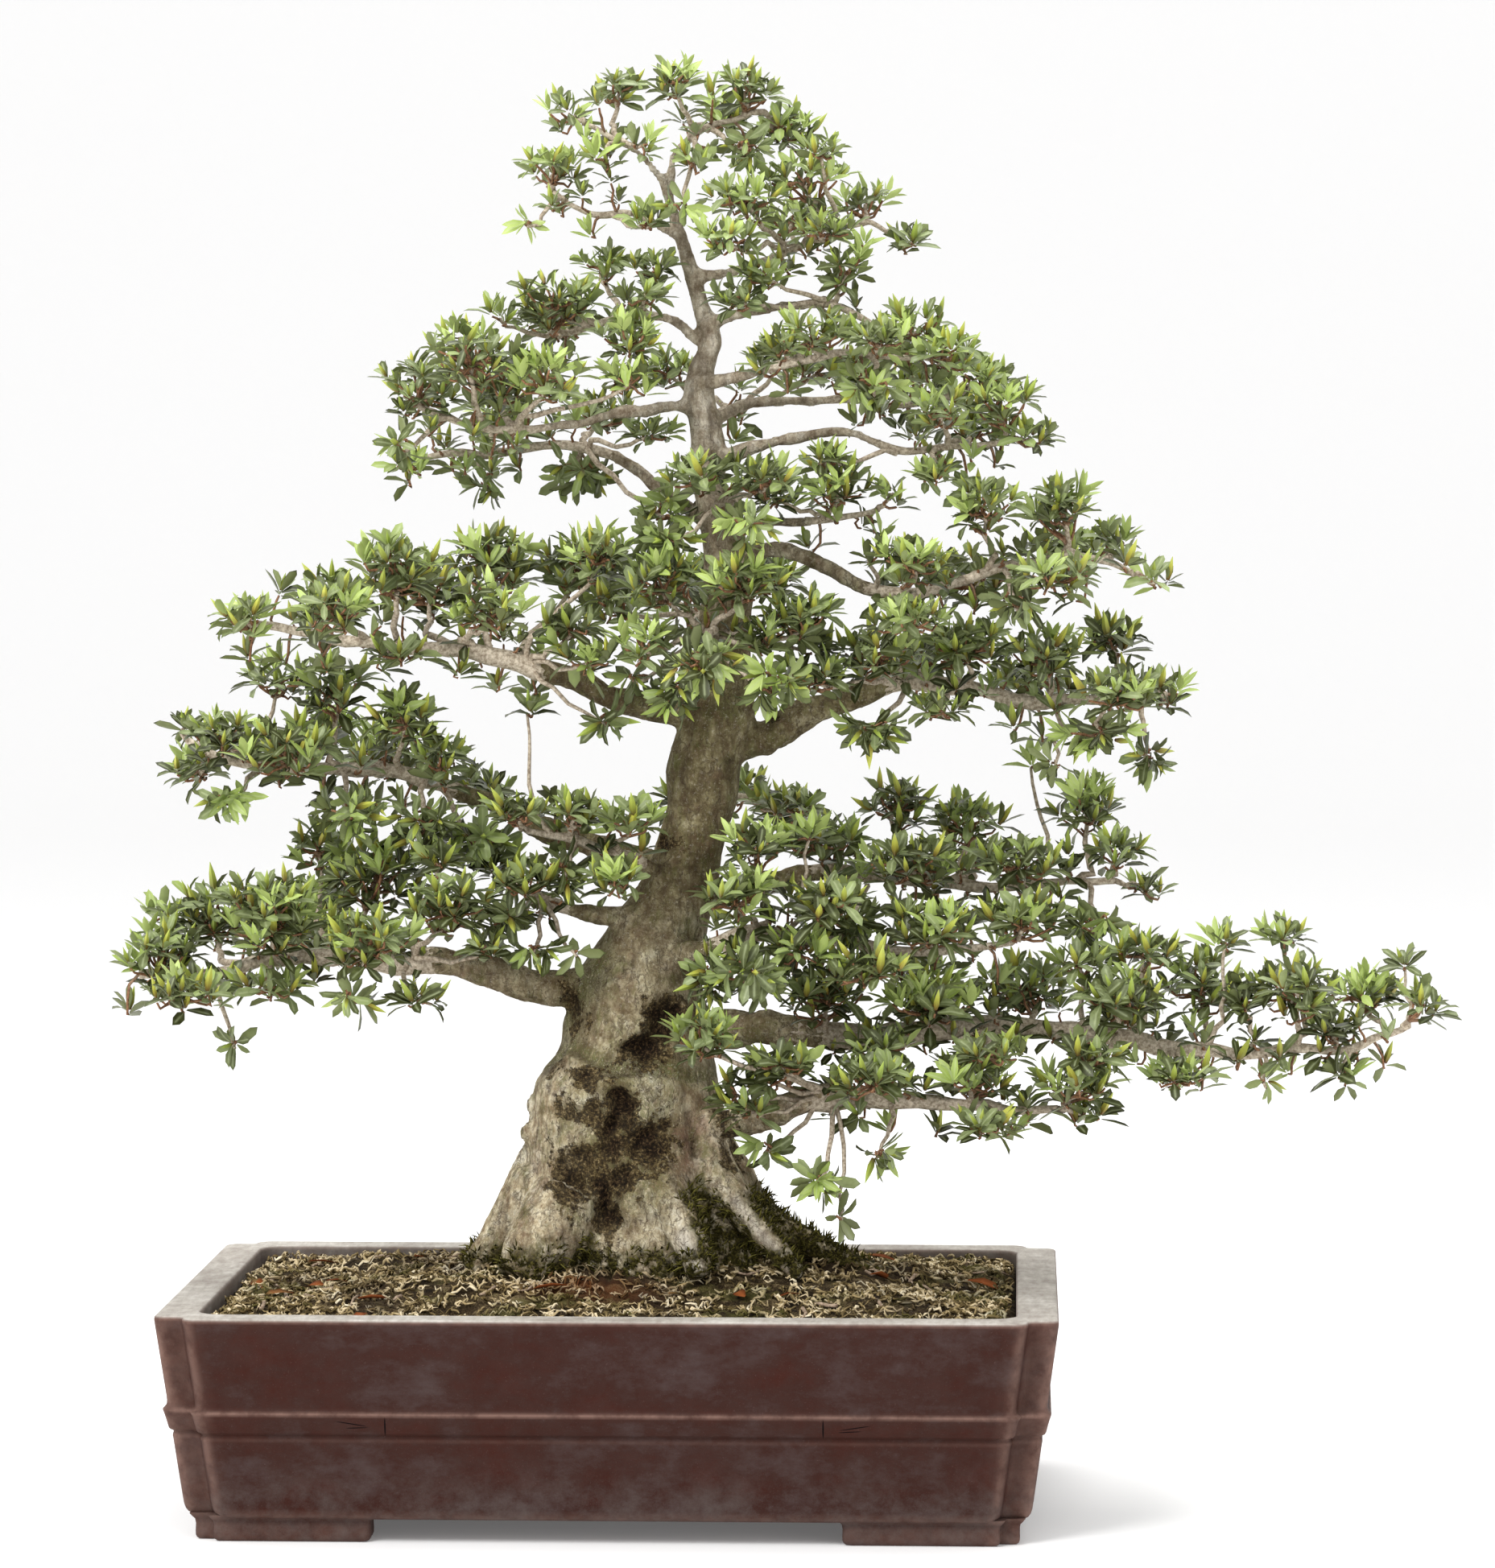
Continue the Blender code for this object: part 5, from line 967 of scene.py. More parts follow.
# The mounds of foliage on each limb: middle, half width and half height in centimetres.
mounds = {
    "lowLeft": [(-26.6, -1, 31.6, 2.5, 2.1), (-24, 2.5, 33.5, 2.8, 2.3), (-24.8, -4, 29.8, 2.8, 1.2),
        (-19.5, -3.5, 34.4, 3.2, 2.6), (-18.2, 3.5, 31.8, 3.2, 2), (-14.5, 1.5, 36.2, 3.2, 2.6),
        (-14, -4, 32.8, 3, 2), (-9.6, -2.5, 34.6, 2.8, 2.1), (-14.8, -4.5, 29.6, 1.6, 0.9),
        (-11, -4, 29.7, 1.5, 0.9), (-21.9, -2.5, 26.6, 0.9, 0.8), (-19.5, 7, 33.5, 3, 1.8),
        (-18, 3, 37.3, 1.9, 1.7), (-26.6, 1, 33.6, 1.5, 1), (-20, -2, 29.9, 2.2, 1),
        (-7.6, -2.6, 32.4, 1.7, 0.9), (-10.4, -1, 37, 1.4, 1.1)],
    "lowLeftTwig": [(-5.4, -2.5, 36, 2.2, 1.3), (-2.4, -2.4, 31.9, 0.9, 0.7), (-7.6, 1.4, 36.6, 2, 1.4),
        (-6.6, -1.4, 33.7, 1.9, 1.1), (-4.9, -2, 32, 1.4, 0.9)],
    "leftLower": [(-20.6, 5.5, 47.2, 2.1, 1.5), (-16.6, 2.5, 46.6, 2.2, 2), (-12.5, 1, 45.2, 1.9, 2),
        (-22.9, 2, 44.2, 2.7, 1.4), (-25.9, 5, 44.6, 1, 0.8), (-25.2, 5.5, 41.8, 2.2, 1.2),
        (-19, 0.5, 43.2, 3.2, 2), (-14.4, 7.5, 42.8, 3.3, 2), (-10.4, 1.6, 42.6, 2, 1.6),
        (-22.4, 0.5, 40.5, 1.6, 1), (-15.6, 0.5, 39.6, 2.6, 1.5), (-19, 8.5, 44, 2.6, 1.8),
        (-8.8, 8, 40.4, 2, 1.3), (-11.4, 2, 39, 2.5, 1.5), (-8.6, 3, 37.8, 2.1, 1.3)],
    "leftInner": [(-5.6, -3.4, 39.9, 2.1, 1.3), (-2.4, -3.6, 40, 1.8, 1.4), (0.9, -3.4, 39.6, 1.9, 1.5),
        (0, -4.4, 36.4, 1.9, 1.3), (-5.4, -1.4, 45.6, 1.3, 1), (-3.2, -2.8, 36.4, 1.8, 1.4)],
    "leftMiddle": [(-21, -3, 50.9, 1.9, 1.3), (-17, 0.5, 51.9, 2.6, 1.9), (-15.5, -6, 51.6, 2.4, 1.6),
        (-12.6, -3.5, 53.8, 3, 2.1), (-11.8, 3.5, 52.4, 2.8, 2), (-7.5, 0, 54.4, 3.1, 2.3),
        (-7, -6, 51.6, 2.6, 1.8), (-3, 3, 53.8, 2.6, 2.2), (-2.6, -3.4, 50.4, 2.2, 1.4),
        (-1, -3.5, 54.6, 2.2, 1.8), (-0.6, -2.6, 45, 1, 0.7), (-12.4, -3, 49, 1.8, 0.8),
        (-1.6, -3.6, 48.7, 1.9, 1)],
    "upperLeftLow": [(-12.4, 3.5, 59.6, 1.5, 1.2), (-8.2, 5.5, 58.4, 1.5, 1), (-2.8, 5, 59.1, 2.1, 1.3),
        (-8, 7.5, 62.8, 2.4, 1.6), (-2, 8, 62.8, 2.4, 1.6), (1.4, 2.4, 61.4, 1.8, 1),
        (2.4, 2.6, 57, 1.8, 1.5)],
    "upperLeft": [(-11.7, -0.5, 64, 2.8, 2.1), (-8.2, -3, 65.8, 3, 2.2), (-7.4, 2.5, 64.6, 2.8, 1.9),
        (-4, -3, 64.6, 2.6, 1.8), (0.6, -2, 64.6, 1.8, 1.6), (-12.4, -3, 60.6, 1.4, 1.2)],
    "upperLeftTop": [(-3.8, 1, 69, 2.8, 2), (-1.4, 3, 71.1, 1.6, 1.4), (0.6, -0.4, 66.9, 2.2, 1.7),
        (-4.4, 6, 68, 2.4, 1.6), (1.8, 0.6, 70.7, 1.7, 1.4), (-7, 1, 68.2, 1.2, 1),
        (1.4, -0.6, 69.2, 1.7, 0.9)],
    "crownLeft": [(-4, 2, 76.8, 2, 1.4), (-5.4, 0.8, 73.4, 0.9, 0.8), (1.6, 0, 73.4, 1.3, 1.2)],
    "crownTop": [(3, 1, 81.6, 1.8, 1.5), (7, 2, 81.3, 2, 1.5), (9.2, 3, 78.8, 2.2, 1.5),
        (5.4, 5, 80, 2, 1.4), (4.2, 0, 77, 1.3, 1.2), (7.4, 0.5, 77.7, 1.7, 1.1), (3.6, 0, 74.2, 1.5, 1.3)],
    "crownWest": [(-3.3, 2, 79.9, 1.7, 1.3), (-0.4, 2.6, 81.3, 1.9, 1.3), (1.2, -0.2, 78, 1.3, 1.1),
        (-1, 0.6, 77.3, 1.5, 1.2)],
    "crownRight": [(10.4, 1.5, 76, 2.6, 1.5), (7.2, 0.4, 74.8, 2.6, 1.5), (13.8, 3, 74.9, 2.2, 1.2),
        (16.3, 3, 72.5, 1.5, 0.9), (9.4, 5.5, 74, 2.4, 1.4), (6.4, -0.8, 72.4, 2.2, 1.3),
        (11.4, 0.4, 77.4, 1.6, 1.2), (11.6, 0.6, 73, 1.9, 1.2)],
    "rightSeventh": [(12.8, 0.4, 71, 1.8, 1.6), (16.8, 1, 67.6, 2.3, 1.4), (8.4, -0.8, 70.4, 1.8, 1.2),
        (6.8, -0.6, 69.2, 1.9, 1.2)],
    "rightSixth": [(11, -2.6, 67.1, 2.5, 1.4), (18.7, -1.6, 66, 2.2, 1.5), (14.8, -3.4, 66.7, 2.2, 1.3),
        (9.4, -2.6, 66.2, 1.2, 1), (14.6, -3, 63.8, 2, 1.2)],
    "rightFifth": [(20.2, 5, 64.8, 2.4, 1.4), (14, 7, 65, 2.2, 1.3), (17.2, 7.5, 64, 2.5, 1.4)],
    "rightFourth": [(21.6, -1, 63.2, 2.3, 1.6), (23.2, -0.6, 61.3, 1.7, 1.1), (18.2, -2, 62.8, 2.3, 1.3),
        (17.9, -2.4, 59.2, 1.3, 0.9), (11.6, -1.6, 60, 1.7, 1.2), (20, 3, 61.8, 2.2, 1.3)],
    "rightThirdTwig": [(12.4, -2, 58.6, 2.5, 1.3), (15.6, -1, 58.2, 1.3, 1), (9, -1.4, 57.9, 1.8, 1.1)],
    "rightShoulder": [(20.6, -2, 57.3, 2.3, 1.8), (25.2, 0, 57.1, 2.5, 1.8), (27.9, 2.5, 55.3, 1.8, 1.3),
        (30.5, 0.6, 53.2, 1.5, 0.9), (24.4, -2.5, 53.4, 2.6, 1.3), (16.8, -3.4, 54.2, 2.7, 1.7),
        (20.4, 3, 53, 3, 1.7), (25.6, 4.5, 54.8, 2.4, 1.5), (22.6, -1, 51.6, 2.2, 1),
        (16.4, -3.6, 51, 2.6, 1.4), (14.2, -1.5, 54.7, 1.1, 0.9)],
    "rightMiddle": [(28, 4.5, 49.7, 1.9, 1.4), (24.2, 2.5, 48.9, 2.7, 1.7), (31.2, 4, 46.6, 2, 1.3),
        (28.2, 0, 46.8, 2.5, 1.5), (19.8, 1, 49.4, 3, 1.6), (14.8, 0, 48.9, 2.8, 1.7),
        (27.2, 2, 44.2, 2.6, 1.2), (30.2, 4, 42.6, 1.3, 1.4), (14.2, -1.4, 44.8, 2.2, 1.2),
        (23, 7, 47, 2.6, 1.5), (17.4, 7, 48.4, 2.6, 1.6), (11.2, -0.6, 47.7, 2.1, 1.4),
        (18.4, -0.6, 45.8, 2, 0.9), (24.8, 1, 42.6, 1.2, 0.9)],
    "rightLower": [(15.4, 4, 40, 2.2, 1.8), (19.8, 5, 39.2, 2.4, 1.7), (26.6, 5, 40, 2.4, 1.8),
        (30.2, 5, 35.2, 1.3, 1), (22.6, 2, 37, 2.7, 1.5), (28.2, 3.6, 37.4, 1.8, 1.4),
        (16.6, 1, 37, 3, 1.7), (11.4, 2.5, 38, 2.5, 1.4), (23.4, 6, 42.2, 1, 0.9),
        (27, 2.6, 33.1, 2.2, 1.2), (20, 8.5, 36.6, 2.6, 1.5), (13, -0.4, 33.6, 2.2, 1.2)],
    "frontRight": [(7.8, -4, 38.1, 2.2, 1.7), (10.8, -3.4, 38.6, 1.4, 1), (7, -5.6, 35.4, 2.3, 1.7),
        (12, -5.4, 35.2, 2.6, 1.6), (14, -6, 31.4, 2.6, 1.6), (18, -4, 33.6, 3, 1.7),
        (23, -2.6, 33.8, 2.6, 1.5), (7.6, -6, 31, 2.3, 1.7), (10.4, -5.4, 32.4, 2, 1.3),
        (5.3, -5, 31, 1.2, 1.8)],
    "longRight": [(11.8, -0.5, 29.4, 2.8, 1.8), (17.6, -2, 29.2, 3, 2), (23, 2.5, 29.6, 3, 2),
        (28.4, -1.6, 29.4, 2.8, 2.1), (33.2, 1.4, 30, 2.6, 2), (38.2, -1, 30, 2.7, 2),
        (42.4, 1.4, 29.3, 2.5, 1.6), (45.6, 0, 28.8, 1.6, 1.2), (34.4, -1.4, 32.7, 1.3, 1),
        (44.8, 0.4, 31, 1.1, 0.9), (31.8, -2, 25.1, 2.2, 1.2), (36.8, -1, 24.4, 1.1, 0.8),
        (41.2, -1, 25, 1.3, 1), (17.4, 5, 29.4, 2.8, 1.7), (29, 4.6, 28.4, 2.6, 1.6),
        (37.9, 2.4, 32.4, 1.4, 1), (29.8, 0, 31.8, 2.2, 1.2), (21, -3.6, 26.6, 2.4, 1.1),
        (15, -3, 26.8, 2.2, 1.2), (26.6, -3.4, 26.4, 2.2, 1.1), (40.6, 0, 27.6, 2, 1.2),
        (35.6, -1, 29.3, 1.3, 1.6), (26.2, -1, 31.3, 1.9, 0.9)],
    "lowRight": [(9, -4.6, 25.2, 2.3, 1.5), (14.4, -6, 25.2, 2.8, 1.5), (20, -5.2, 25.2, 2.8, 1.4),
        (25.8, -5, 24.8, 2.4, 1.4), (26.6, -4, 23, 1.6, 1.1), (20.8, -6.4, 22.6, 1.7, 1),
        (14.8, -6, 21, 1.3, 0.9), (11.6, -6.2, 19.3, 1.5, 1.1), (8.4, -4.4, 21, 1.3, 1),
        (12.8, -6, 17.3, 0.7, 0.7), (9.4, -5.5, 26.1, 2, 0.9), (7.6, -5, 23.4, 1.4, 1),
        (5, -6.6, 27.6, 2, 1.8), (6.8, -4.4, 24.4, 1.6, 1.4)],
    "centreFront": [(2.6, -4, 53, 2.3, 2), (7.2, -5.4, 53, 2.6, 1.9), (10.4, -4.4, 50.8, 2.5, 1.8),
        (1.6, -4.4, 49.6, 2.1, 1.6), (5, -7, 48.4, 2.5, 1.6), (8.8, -6, 47.4, 2.3, 1.5),
        (0.9, -3.4, 47.6, 1.4, 1), (3.3, -4, 46.8, 1.6, 1.3), (8.3, -5, 50, 1.6, 1.2),
        (11, -3, 49.6, 1.7, 0.9)],
    "centreHigh": [(4.4, -2.4, 59.2, 2.2, 1.5), (8.4, -3.8, 58.8, 2.2, 1.4), (7.4, -5, 56.2, 2, 1.3),
        (2.8, -3, 55.4, 1.7, 1)],
    "backLow": [(5.2, 14.5, 40.2, 2.8, 1.4), (9, 12, 39.6, 2.3, 1.3), (2.8, 11, 39.8, 2, 1.3),
        (9, 16.5, 38.8, 2.4, 1.3)],
    "backMiddle": [(3, 15, 53, 2.8, 1.6), (6.8, 12, 53.2, 2.6, 1.6), (-0.6, 12, 52.8, 2.6, 1.6),
        (8, 8.4, 53, 2.4, 1.5), (-0.8, 8, 51.6, 2.4, 1.4)],
    "backHigh": [(8.6, 10.2, 66, 2.2, 1.2), (10.8, 8, 65.2, 2.2, 1.2), (2.2, 8, 65.2, 1.9, 1.3)],
}


def sprayStem(name):
    # the leafy part of the limb, which starts a little inside the end of the bare part
    curve, radii, end = limbCurve(name)
    start = max(end - 3, 0)
    radii = radii.copy()
    radii[start:end] *= np.linspace(0.72, 0.97, end - start)
    return curve[start:], radii[start:], curve[end:]


def moundMiddle(mound, stem):
    # the mounds stand further before and behind their limb than tabled
    x, y, z, _, _ = mound
    limbY = stem[np.argmin(np.abs(stem[:, 0] - x * cm)), 1] / cm
    return np.array([x, limbY + foliage["padDepth"] * (y - limbY), z]) * cm


def spreadOut(count, trySpots, taken):
    # of several tries for each spot, the one that lies furthest from all rosettes made so far
    spots = []
    for _ in range(count):
        tried = trySpots()
        made = taken["spots"][None, :taken["count"] + 1]
        gap = np.min(np.linalg.norm(tried[:, None] - made, axis=2), axis=1)
        if gap.max() < foliage["spacing"]:
            continue
        spots.append(tried[np.argmax(gap)])
        taken["spots"][taken["count"]] = spots[-1]
        taken["count"] += 1
    return np.array(spots).reshape(-1, 3)


def moundSpots(mound, middle, taken, draw):
    # spots within the mound's ellipsoid, which is shallower above its middle than below it, because
    # the leaves rise from them
    _, _, _, halfW, halfH = mound
    wide = max(halfW - foliage["edgeWidth"], 0.2) * cm
    deep = foliage["depthShare"] * max(halfW - 0.3, 0.3) * cm
    rise, drop = max(halfH - foliage["edgeHeight"], 0.15) * cm, max(halfH - 0.25, 0.2) * cm

    def trySpots():
        way = unit(draw.normal(size=(foliage["tries"], 3)) + (0, 0, 0.25))
        tall = np.where(way[:, 2:] > 0, rise, drop)
        scale = np.hstack([np.full_like(tall, wide), np.full_like(tall, deep), tall])
        return middle + way * scale * draw.uniform(0.3, 1.0, (foliage["tries"], 1))

    return spreadOut(max(1, round(foliage["rosettesPerArea"] * halfW * halfH)), trySpots, taken)


def stemSpots(stem, taken, draw):
    # spots close round the leafy stem itself
    length = np.sum(np.linalg.norm(np.diff(stem, axis=0), axis=1))
    low, high = foliage["stemReach"]

    def trySpots():
        on = stem[draw.integers(1, len(stem), foliage["tries"])]
        way = unit(draw.normal(size=(foliage["tries"], 3)) * (0.5, 1.0, 1.0) + (0, -0.15, 0.3))
        return on + way * draw.uniform(low, high, (foliage["tries"], 1))

    return spreadOut(round(length / foliage["stemPitch"]), trySpots, taken)


def nearestFeet(spots, line, lead):
    # for each spot the number of the line's point that is closest, preferring points nearer its start
    apart = np.linalg.norm(spots[:, None] - line[None], axis=2) + np.linspace(0, lead, len(line))[None]
    return np.argmin(apart, axis=1)


def twigsFrom(line, ends, axes, draw):
    # a thin bent tube to each rosette from the nearest point of a branch, and its age along it
    feet, steps, sides = nearestFeet(ends, line, foliage["twigLead"]), 5, 3
    starts = line[feet]
    gap = np.linalg.norm(ends - starts, axis=1, keepdims=True)
    ways = unit(line[np.minimum(feet + 1, len(line) - 1)] - line[np.maximum(feet - 1, 0)])
    ways = unit(ways + unit(ends - starts) * 0.8)
    twigs = bentPaths(starts, ways * gap, ends, axes * gap * 0.9, steps)
    twigs[:, 1:-1] += draw.normal(size=(len(ends), steps - 2, 3)) * foliage["twigStray"]
    radii = np.linspace(1.4, 0.9, steps)[None] * foliage["twigRadius"] * np.ones((len(ends), 1))
    age = np.tile(np.repeat(np.linspace(0.5, 0.0, steps), sides), len(ends))
    return sweptTubes(twigs, radii, sides), age


def branchletTo(middle, stem, mound, rosettes, draw):
    # a bent branchlet from the stem to low in the mound
    foot = int(nearestFeet(middle[None], stem, foliage["inwardLead"])[0])
    way = stem[min(foot + 1, len(stem) - 1)] - stem[max(foot - 1, 0)]
    hub = middle + (0, 0, -0.35 * mound[4] * cm)
    apart, steps = np.linalg.norm(hub - stem[foot]), 9
    line = bentPaths(stem[foot][None], unit(way + (0, 0, 0.4 * np.linalg.norm(way)))[None] * apart,
                     hub[None], (unit(hub - stem[foot]) + (0, 0, 0.5))[None] * apart * 0.8, steps)[0]
    line[1:-1] += draw.normal(size=(steps - 2, 3)) * foliage["branchletStray"]
    thick = foliage["branchletRadius"] * (0.75 + 0.1 * rosettes ** 0.5)
    return line, taperedTube(line, np.linspace(thick * 1.25, thick * 0.62, steps), 6)


def leafShapes(young):
    # leaves as rings of four points (left edge, top of the rib, right edge, underside of the rib) at
    # three places along them and one point for the tip; young ones are widest sooner and pointed.
    # The face mark is 0 on top of the rib, a half at the edges and 1 under the rib.
    along = np.array([0.04, 0.46, 0.80])
    old, new = np.array([0.22, 0.94, 0.86]), np.array([0.28, 1.0, 0.60])
    half = (old + (new - old) * young[:, None]) / 2
    pattern = np.array([-1.0, 0.0, 1.0, 0.0])
    across = np.hstack([(half[..., None] * pattern).reshape(len(young), -1), np.zeros((len(young), 1))])
    steps = np.append(np.repeat(along, 4), 1.0)
    face = np.append(np.tile([0.5, 0.0, 0.5, 1.0], 3), 0.35)
    k, last = np.arange(4), 12
    tip = np.stack([last - 4 + k, last - 4 + (k + 1) % 4, np.full(4, last)], axis=1)
    return steps, across, face, [gridFaces(3, 4, aroundColumns=True), tip, np.array([[3, 2, 1, 0]])]


def growLeaves(base, along, upper, length, width, bend, tone, young):
    # every leaf at once: the shape is laid along an arc that bends away from its upper side, with
    # both halves folded up a little from the rib
    steps, across, face, shapeFaces = leafShapes(young)
    side = unit(np.cross(upper, along))
    angle = bend[:, None] * steps[None]
    safe = np.where(np.abs(bend) < 1e-3, 1e-3, bend)[:, None]
    forward = np.sin(angle) / safe * length[:, None]
    drop = (1 - np.cos(angle)) / safe * length[:, None]
    lift = np.abs(across) * foliage["fold"] * width[:, None] - (face == 1.0)[None] * foliage["leafThickness"]
    normal = upper[:, None] * np.cos(angle)[..., None] + along[:, None] * np.sin(angle)[..., None]
    points = (base[:, None] + along[:, None] * forward[..., None] - upper[:, None] * drop[..., None]
              + side[:, None] * (across * width[:, None])[..., None] + normal * lift[..., None])
    count, size = len(base), len(steps)
    first = (np.arange(count) * size)[:, None, None]
    faces = [(f[None] + first).reshape(-1, f.shape[1]) for f in shapeFaces]
    marks = {"tone": np.repeat(tone, size), "face": np.tile(face, count), "reach": np.tile(steps, count),
             "bud": np.zeros(count * size)}
    return points.reshape(-1, 3), faces, marks


def growBuds(base, axis, size, tone):
    # a pointed four-sided spindle in the middle of each rosette
    t = np.array([0, 0.30, 0.62, 0.98])
    paths = base[:, None] + axis[:, None] * (t[None] * size[:, None])[..., None]
    radii = np.array([0.55, 1.0, 0.72, 0.05])[None] * foliage["budRadius"]
    radii = radii * (size / foliage["budLength"])[:, None]
    points, faces = sweptTubes(paths, radii, 4)
    marks = {"tone": np.repeat(tone, 16), "face": np.full(len(points), 0.25),
             "reach": np.tile(np.repeat(t, 4), len(base)), "bud": np.ones(len(points))}
    return points, faces, marks


def keepInside(points):
    # a leaf or twig that would reach past the solids' box is bent back to it
    low, high = np.array(cadLow) - potMiddle, np.array(cadHigh) - potMiddle
    np.clip(points, low + foliage["boxGap"], high - foliage["boxGap"], out=points)


def dressRosettes(base, axes, young, draw, size, shade, high):
    # an old rosette has leaves that spread and arch over round a bud; a young one has longer,
    # steeper leaves and no bud; both turn on from leaf to leaf by the golden angle
    total, count = foliage["leaves"], len(base)
    order = np.arange(total)[None] / (total - 1)
    azimuth = np.arange(total)[None] * goldenAngle + draw.uniform(0, 2 * math.pi, (count, 1))
    azimuth = azimuth + draw.normal(size=(count, total)) * 0.22
    isYoung = young[:, None] > 0.5
    polar = np.where(isYoung, 0.92 - 0.66 * order, 1.34 - 0.92 * order - 0.10 * high[:, None])
    polar = polar + draw.normal(size=(count, total)) * 0.16
    flat = np.where(np.abs(axes[:, 2:3]) < 0.9, [[0.0, 0.0, 1.0]], [[1.0, 0.0, 0.0]])
    u = unit(np.cross(axes, flat))
    v = np.cross(axes, u)
    sideways = u[:, None] * np.cos(azimuth)[..., None] + v[:, None] * np.sin(azimuth)[..., None]
    along = axes[:, None] * np.cos(polar)[..., None] + sideways * np.sin(polar)[..., None]
    upper = axes[:, None] * np.sin(polar)[..., None] - sideways * np.cos(polar)[..., None]
    upper = unit(upper + np.cross(along, upper) * draw.normal(size=(count, total, 1)) * 0.25)
    leafSize = np.where(isYoung, 1.0 - 0.22 * order, 0.98 - 0.22 * order)
    leafSize = leafSize * draw.uniform(0.8, 1.15, (count, total)) * size[:, None]
    bend = np.where(isYoung, 0.35, 0.75) * draw.uniform(0.1, 1.5, (count, total))
    starts = base[:, None] + axes[:, None] * (0.0035 * order)[..., None] + sideways * 0.0007
    tone = np.where(isYoung, draw.uniform(0.58, 0.95, (count, 1)) + 0.1 * (order - 0.5),
                    draw.uniform(0.0, 0.42, (count, 1)) + 0.12 * order)
    # leaves of rosettes low in their mound or on the stem get a lower tone: painted shade
    tone = tone - (0.28 - 0.12 * high[:, None]) * shade[:, None] + foliage["highTone"] * high[:, None]
    tone = np.clip(tone + draw.normal(size=(count, total)) * 0.07, 0, 1)
    keep = (draw.uniform(size=(count, total)) < foliage["leafShare"]).ravel()
    width = leafSize * foliage["leafWidth"] * draw.uniform(0.82, 1.15, (count, total))
    width = width * np.where(isYoung, 0.86, 1.0)
    pick = [values.reshape(-1, *values.shape[2:])[keep] for values in
            (starts, along, upper, leafSize * foliage["leafLength"], width, bend, tone,
             np.broadcast_to(young[:, None], (count, total)))]
    leafPoints, leafFaces, leafMarks = growLeaves(*pick)
    old = young < 0.5
    budSize = foliage["budLength"] * size * draw.uniform(0.7, 1.2, count)
    budAxis = unit(axes + draw.normal(size=axes.shape) * 0.08)
    budTone = draw.uniform(size=count)
    budPoints, budFaces, budMarks = growBuds((base + axes * 0.003)[old], budAxis[old], budSize[old],
                                             budTone[old])
    points, faces = joinParts([(leafPoints, leafFaces), (budPoints, budFaces)])
    return points, faces, {key: np.concatenate([leafMarks[key], budMarks[key]]) for key in leafMarks}


def makeSpray(name, taken, draw, leaves, twigs):
    # the stem, a branchlet into each mound and a twig to each rosette are the wood; the rosettes
    # of the mounds and of the stem itself are the leaves
    fullStem, radii, stem = sprayStem(name)
    woodParts = [taperedTube(fullStem, radii, 10)]
    ages, bases, axes, shades = [np.ones(len(woodParts[0][0]))], [], [], []
    for mound in mounds[name] + [None]:
        if mound:
            middle = moundMiddle(mound, stem)
            spots = moundSpots(mound, middle, taken, draw)
            outward = unit((spots - middle) * (1, 1, 0.6))
            below = middle[2] < stem[nearestFeet(middle[None], stem, 0)[0], 2] - 0.014
            line, branchlet = branchletTo(middle, stem, mound, len(spots), draw)
            woodParts.append(branchlet)
            ages.append(np.full(len(branchlet[0]), 0.75))
            line = line[2:]
            height = (spots - middle)[:, 2] / (mound[4] * cm)
        else:
            spots, line, below = stemSpots(stem, taken, draw), stem, False
            outward = unit(spots - stem[nearestFeet(spots, stem, 0)])
            height = np.full(len(spots), -0.4)
        if not len(spots):
            continue
        axis = unit(outward * 0.5 + (0, 0, -0.25 if below else 0.9) + draw.normal(size=spots.shape) * 0.18)
        low = spots - axis * 0.004
        thin, age = twigsFrom(line, low, axis, draw)
        woodParts.append(thin)
        ages.append(age)
        bases.append(low)
        axes.append(axis)
        # how low the rosette sits in its mound, for the painted shade of its leaves; rosettes on the stem
        # count as low
        shades.append(smoothStep(-height, -0.35, 0.75))
    base, axes, shade = np.concatenate(bases), np.concatenate(axes), np.concatenate(shades)
    points, faces = joinParts(woodParts)
    keepInside(points)
    node = "spray_" + "".join("_" + c.lower() if c.isupper() else c for c in name)
    wood = buildMesh(name + "Twigs", points + potMiddle, faces, {"age": np.concatenate(ages)})
    addPiece(node + "_wood", wood, twigs, [node])
    # where the painted shade is deep, fewer rosettes are young and bright
    young = (draw.uniform(size=len(base)) < foliage["youngShare"] * (1.35 - shade)).astype(float)
    high = smoothStep(base[:, 2], 45 * cm, 70 * cm)
    size = draw.uniform(0.86, 1.12, len(base)) * (1 - (1 - foliage["highSize"]) * high)
    points, faces, marks = dressRosettes(base, axes, young, draw, size, shade, high)
    keepInside(points)
    mesh = buildMesh(name + "Leaves", points + potMiddle, faces, marks)
    mesh.set_sharp_from_angle(angle=math.radians(70))
    addPiece(node + "_leaves", mesh, leaves, [node])
    return len(base), triangleCount(mesh), triangleCount(wood)


def triangleCount(mesh):
    # a face of n corners makes n - 2 triangles
    return sum(len(face.vertices) - 2 for face in mesh.polygons)


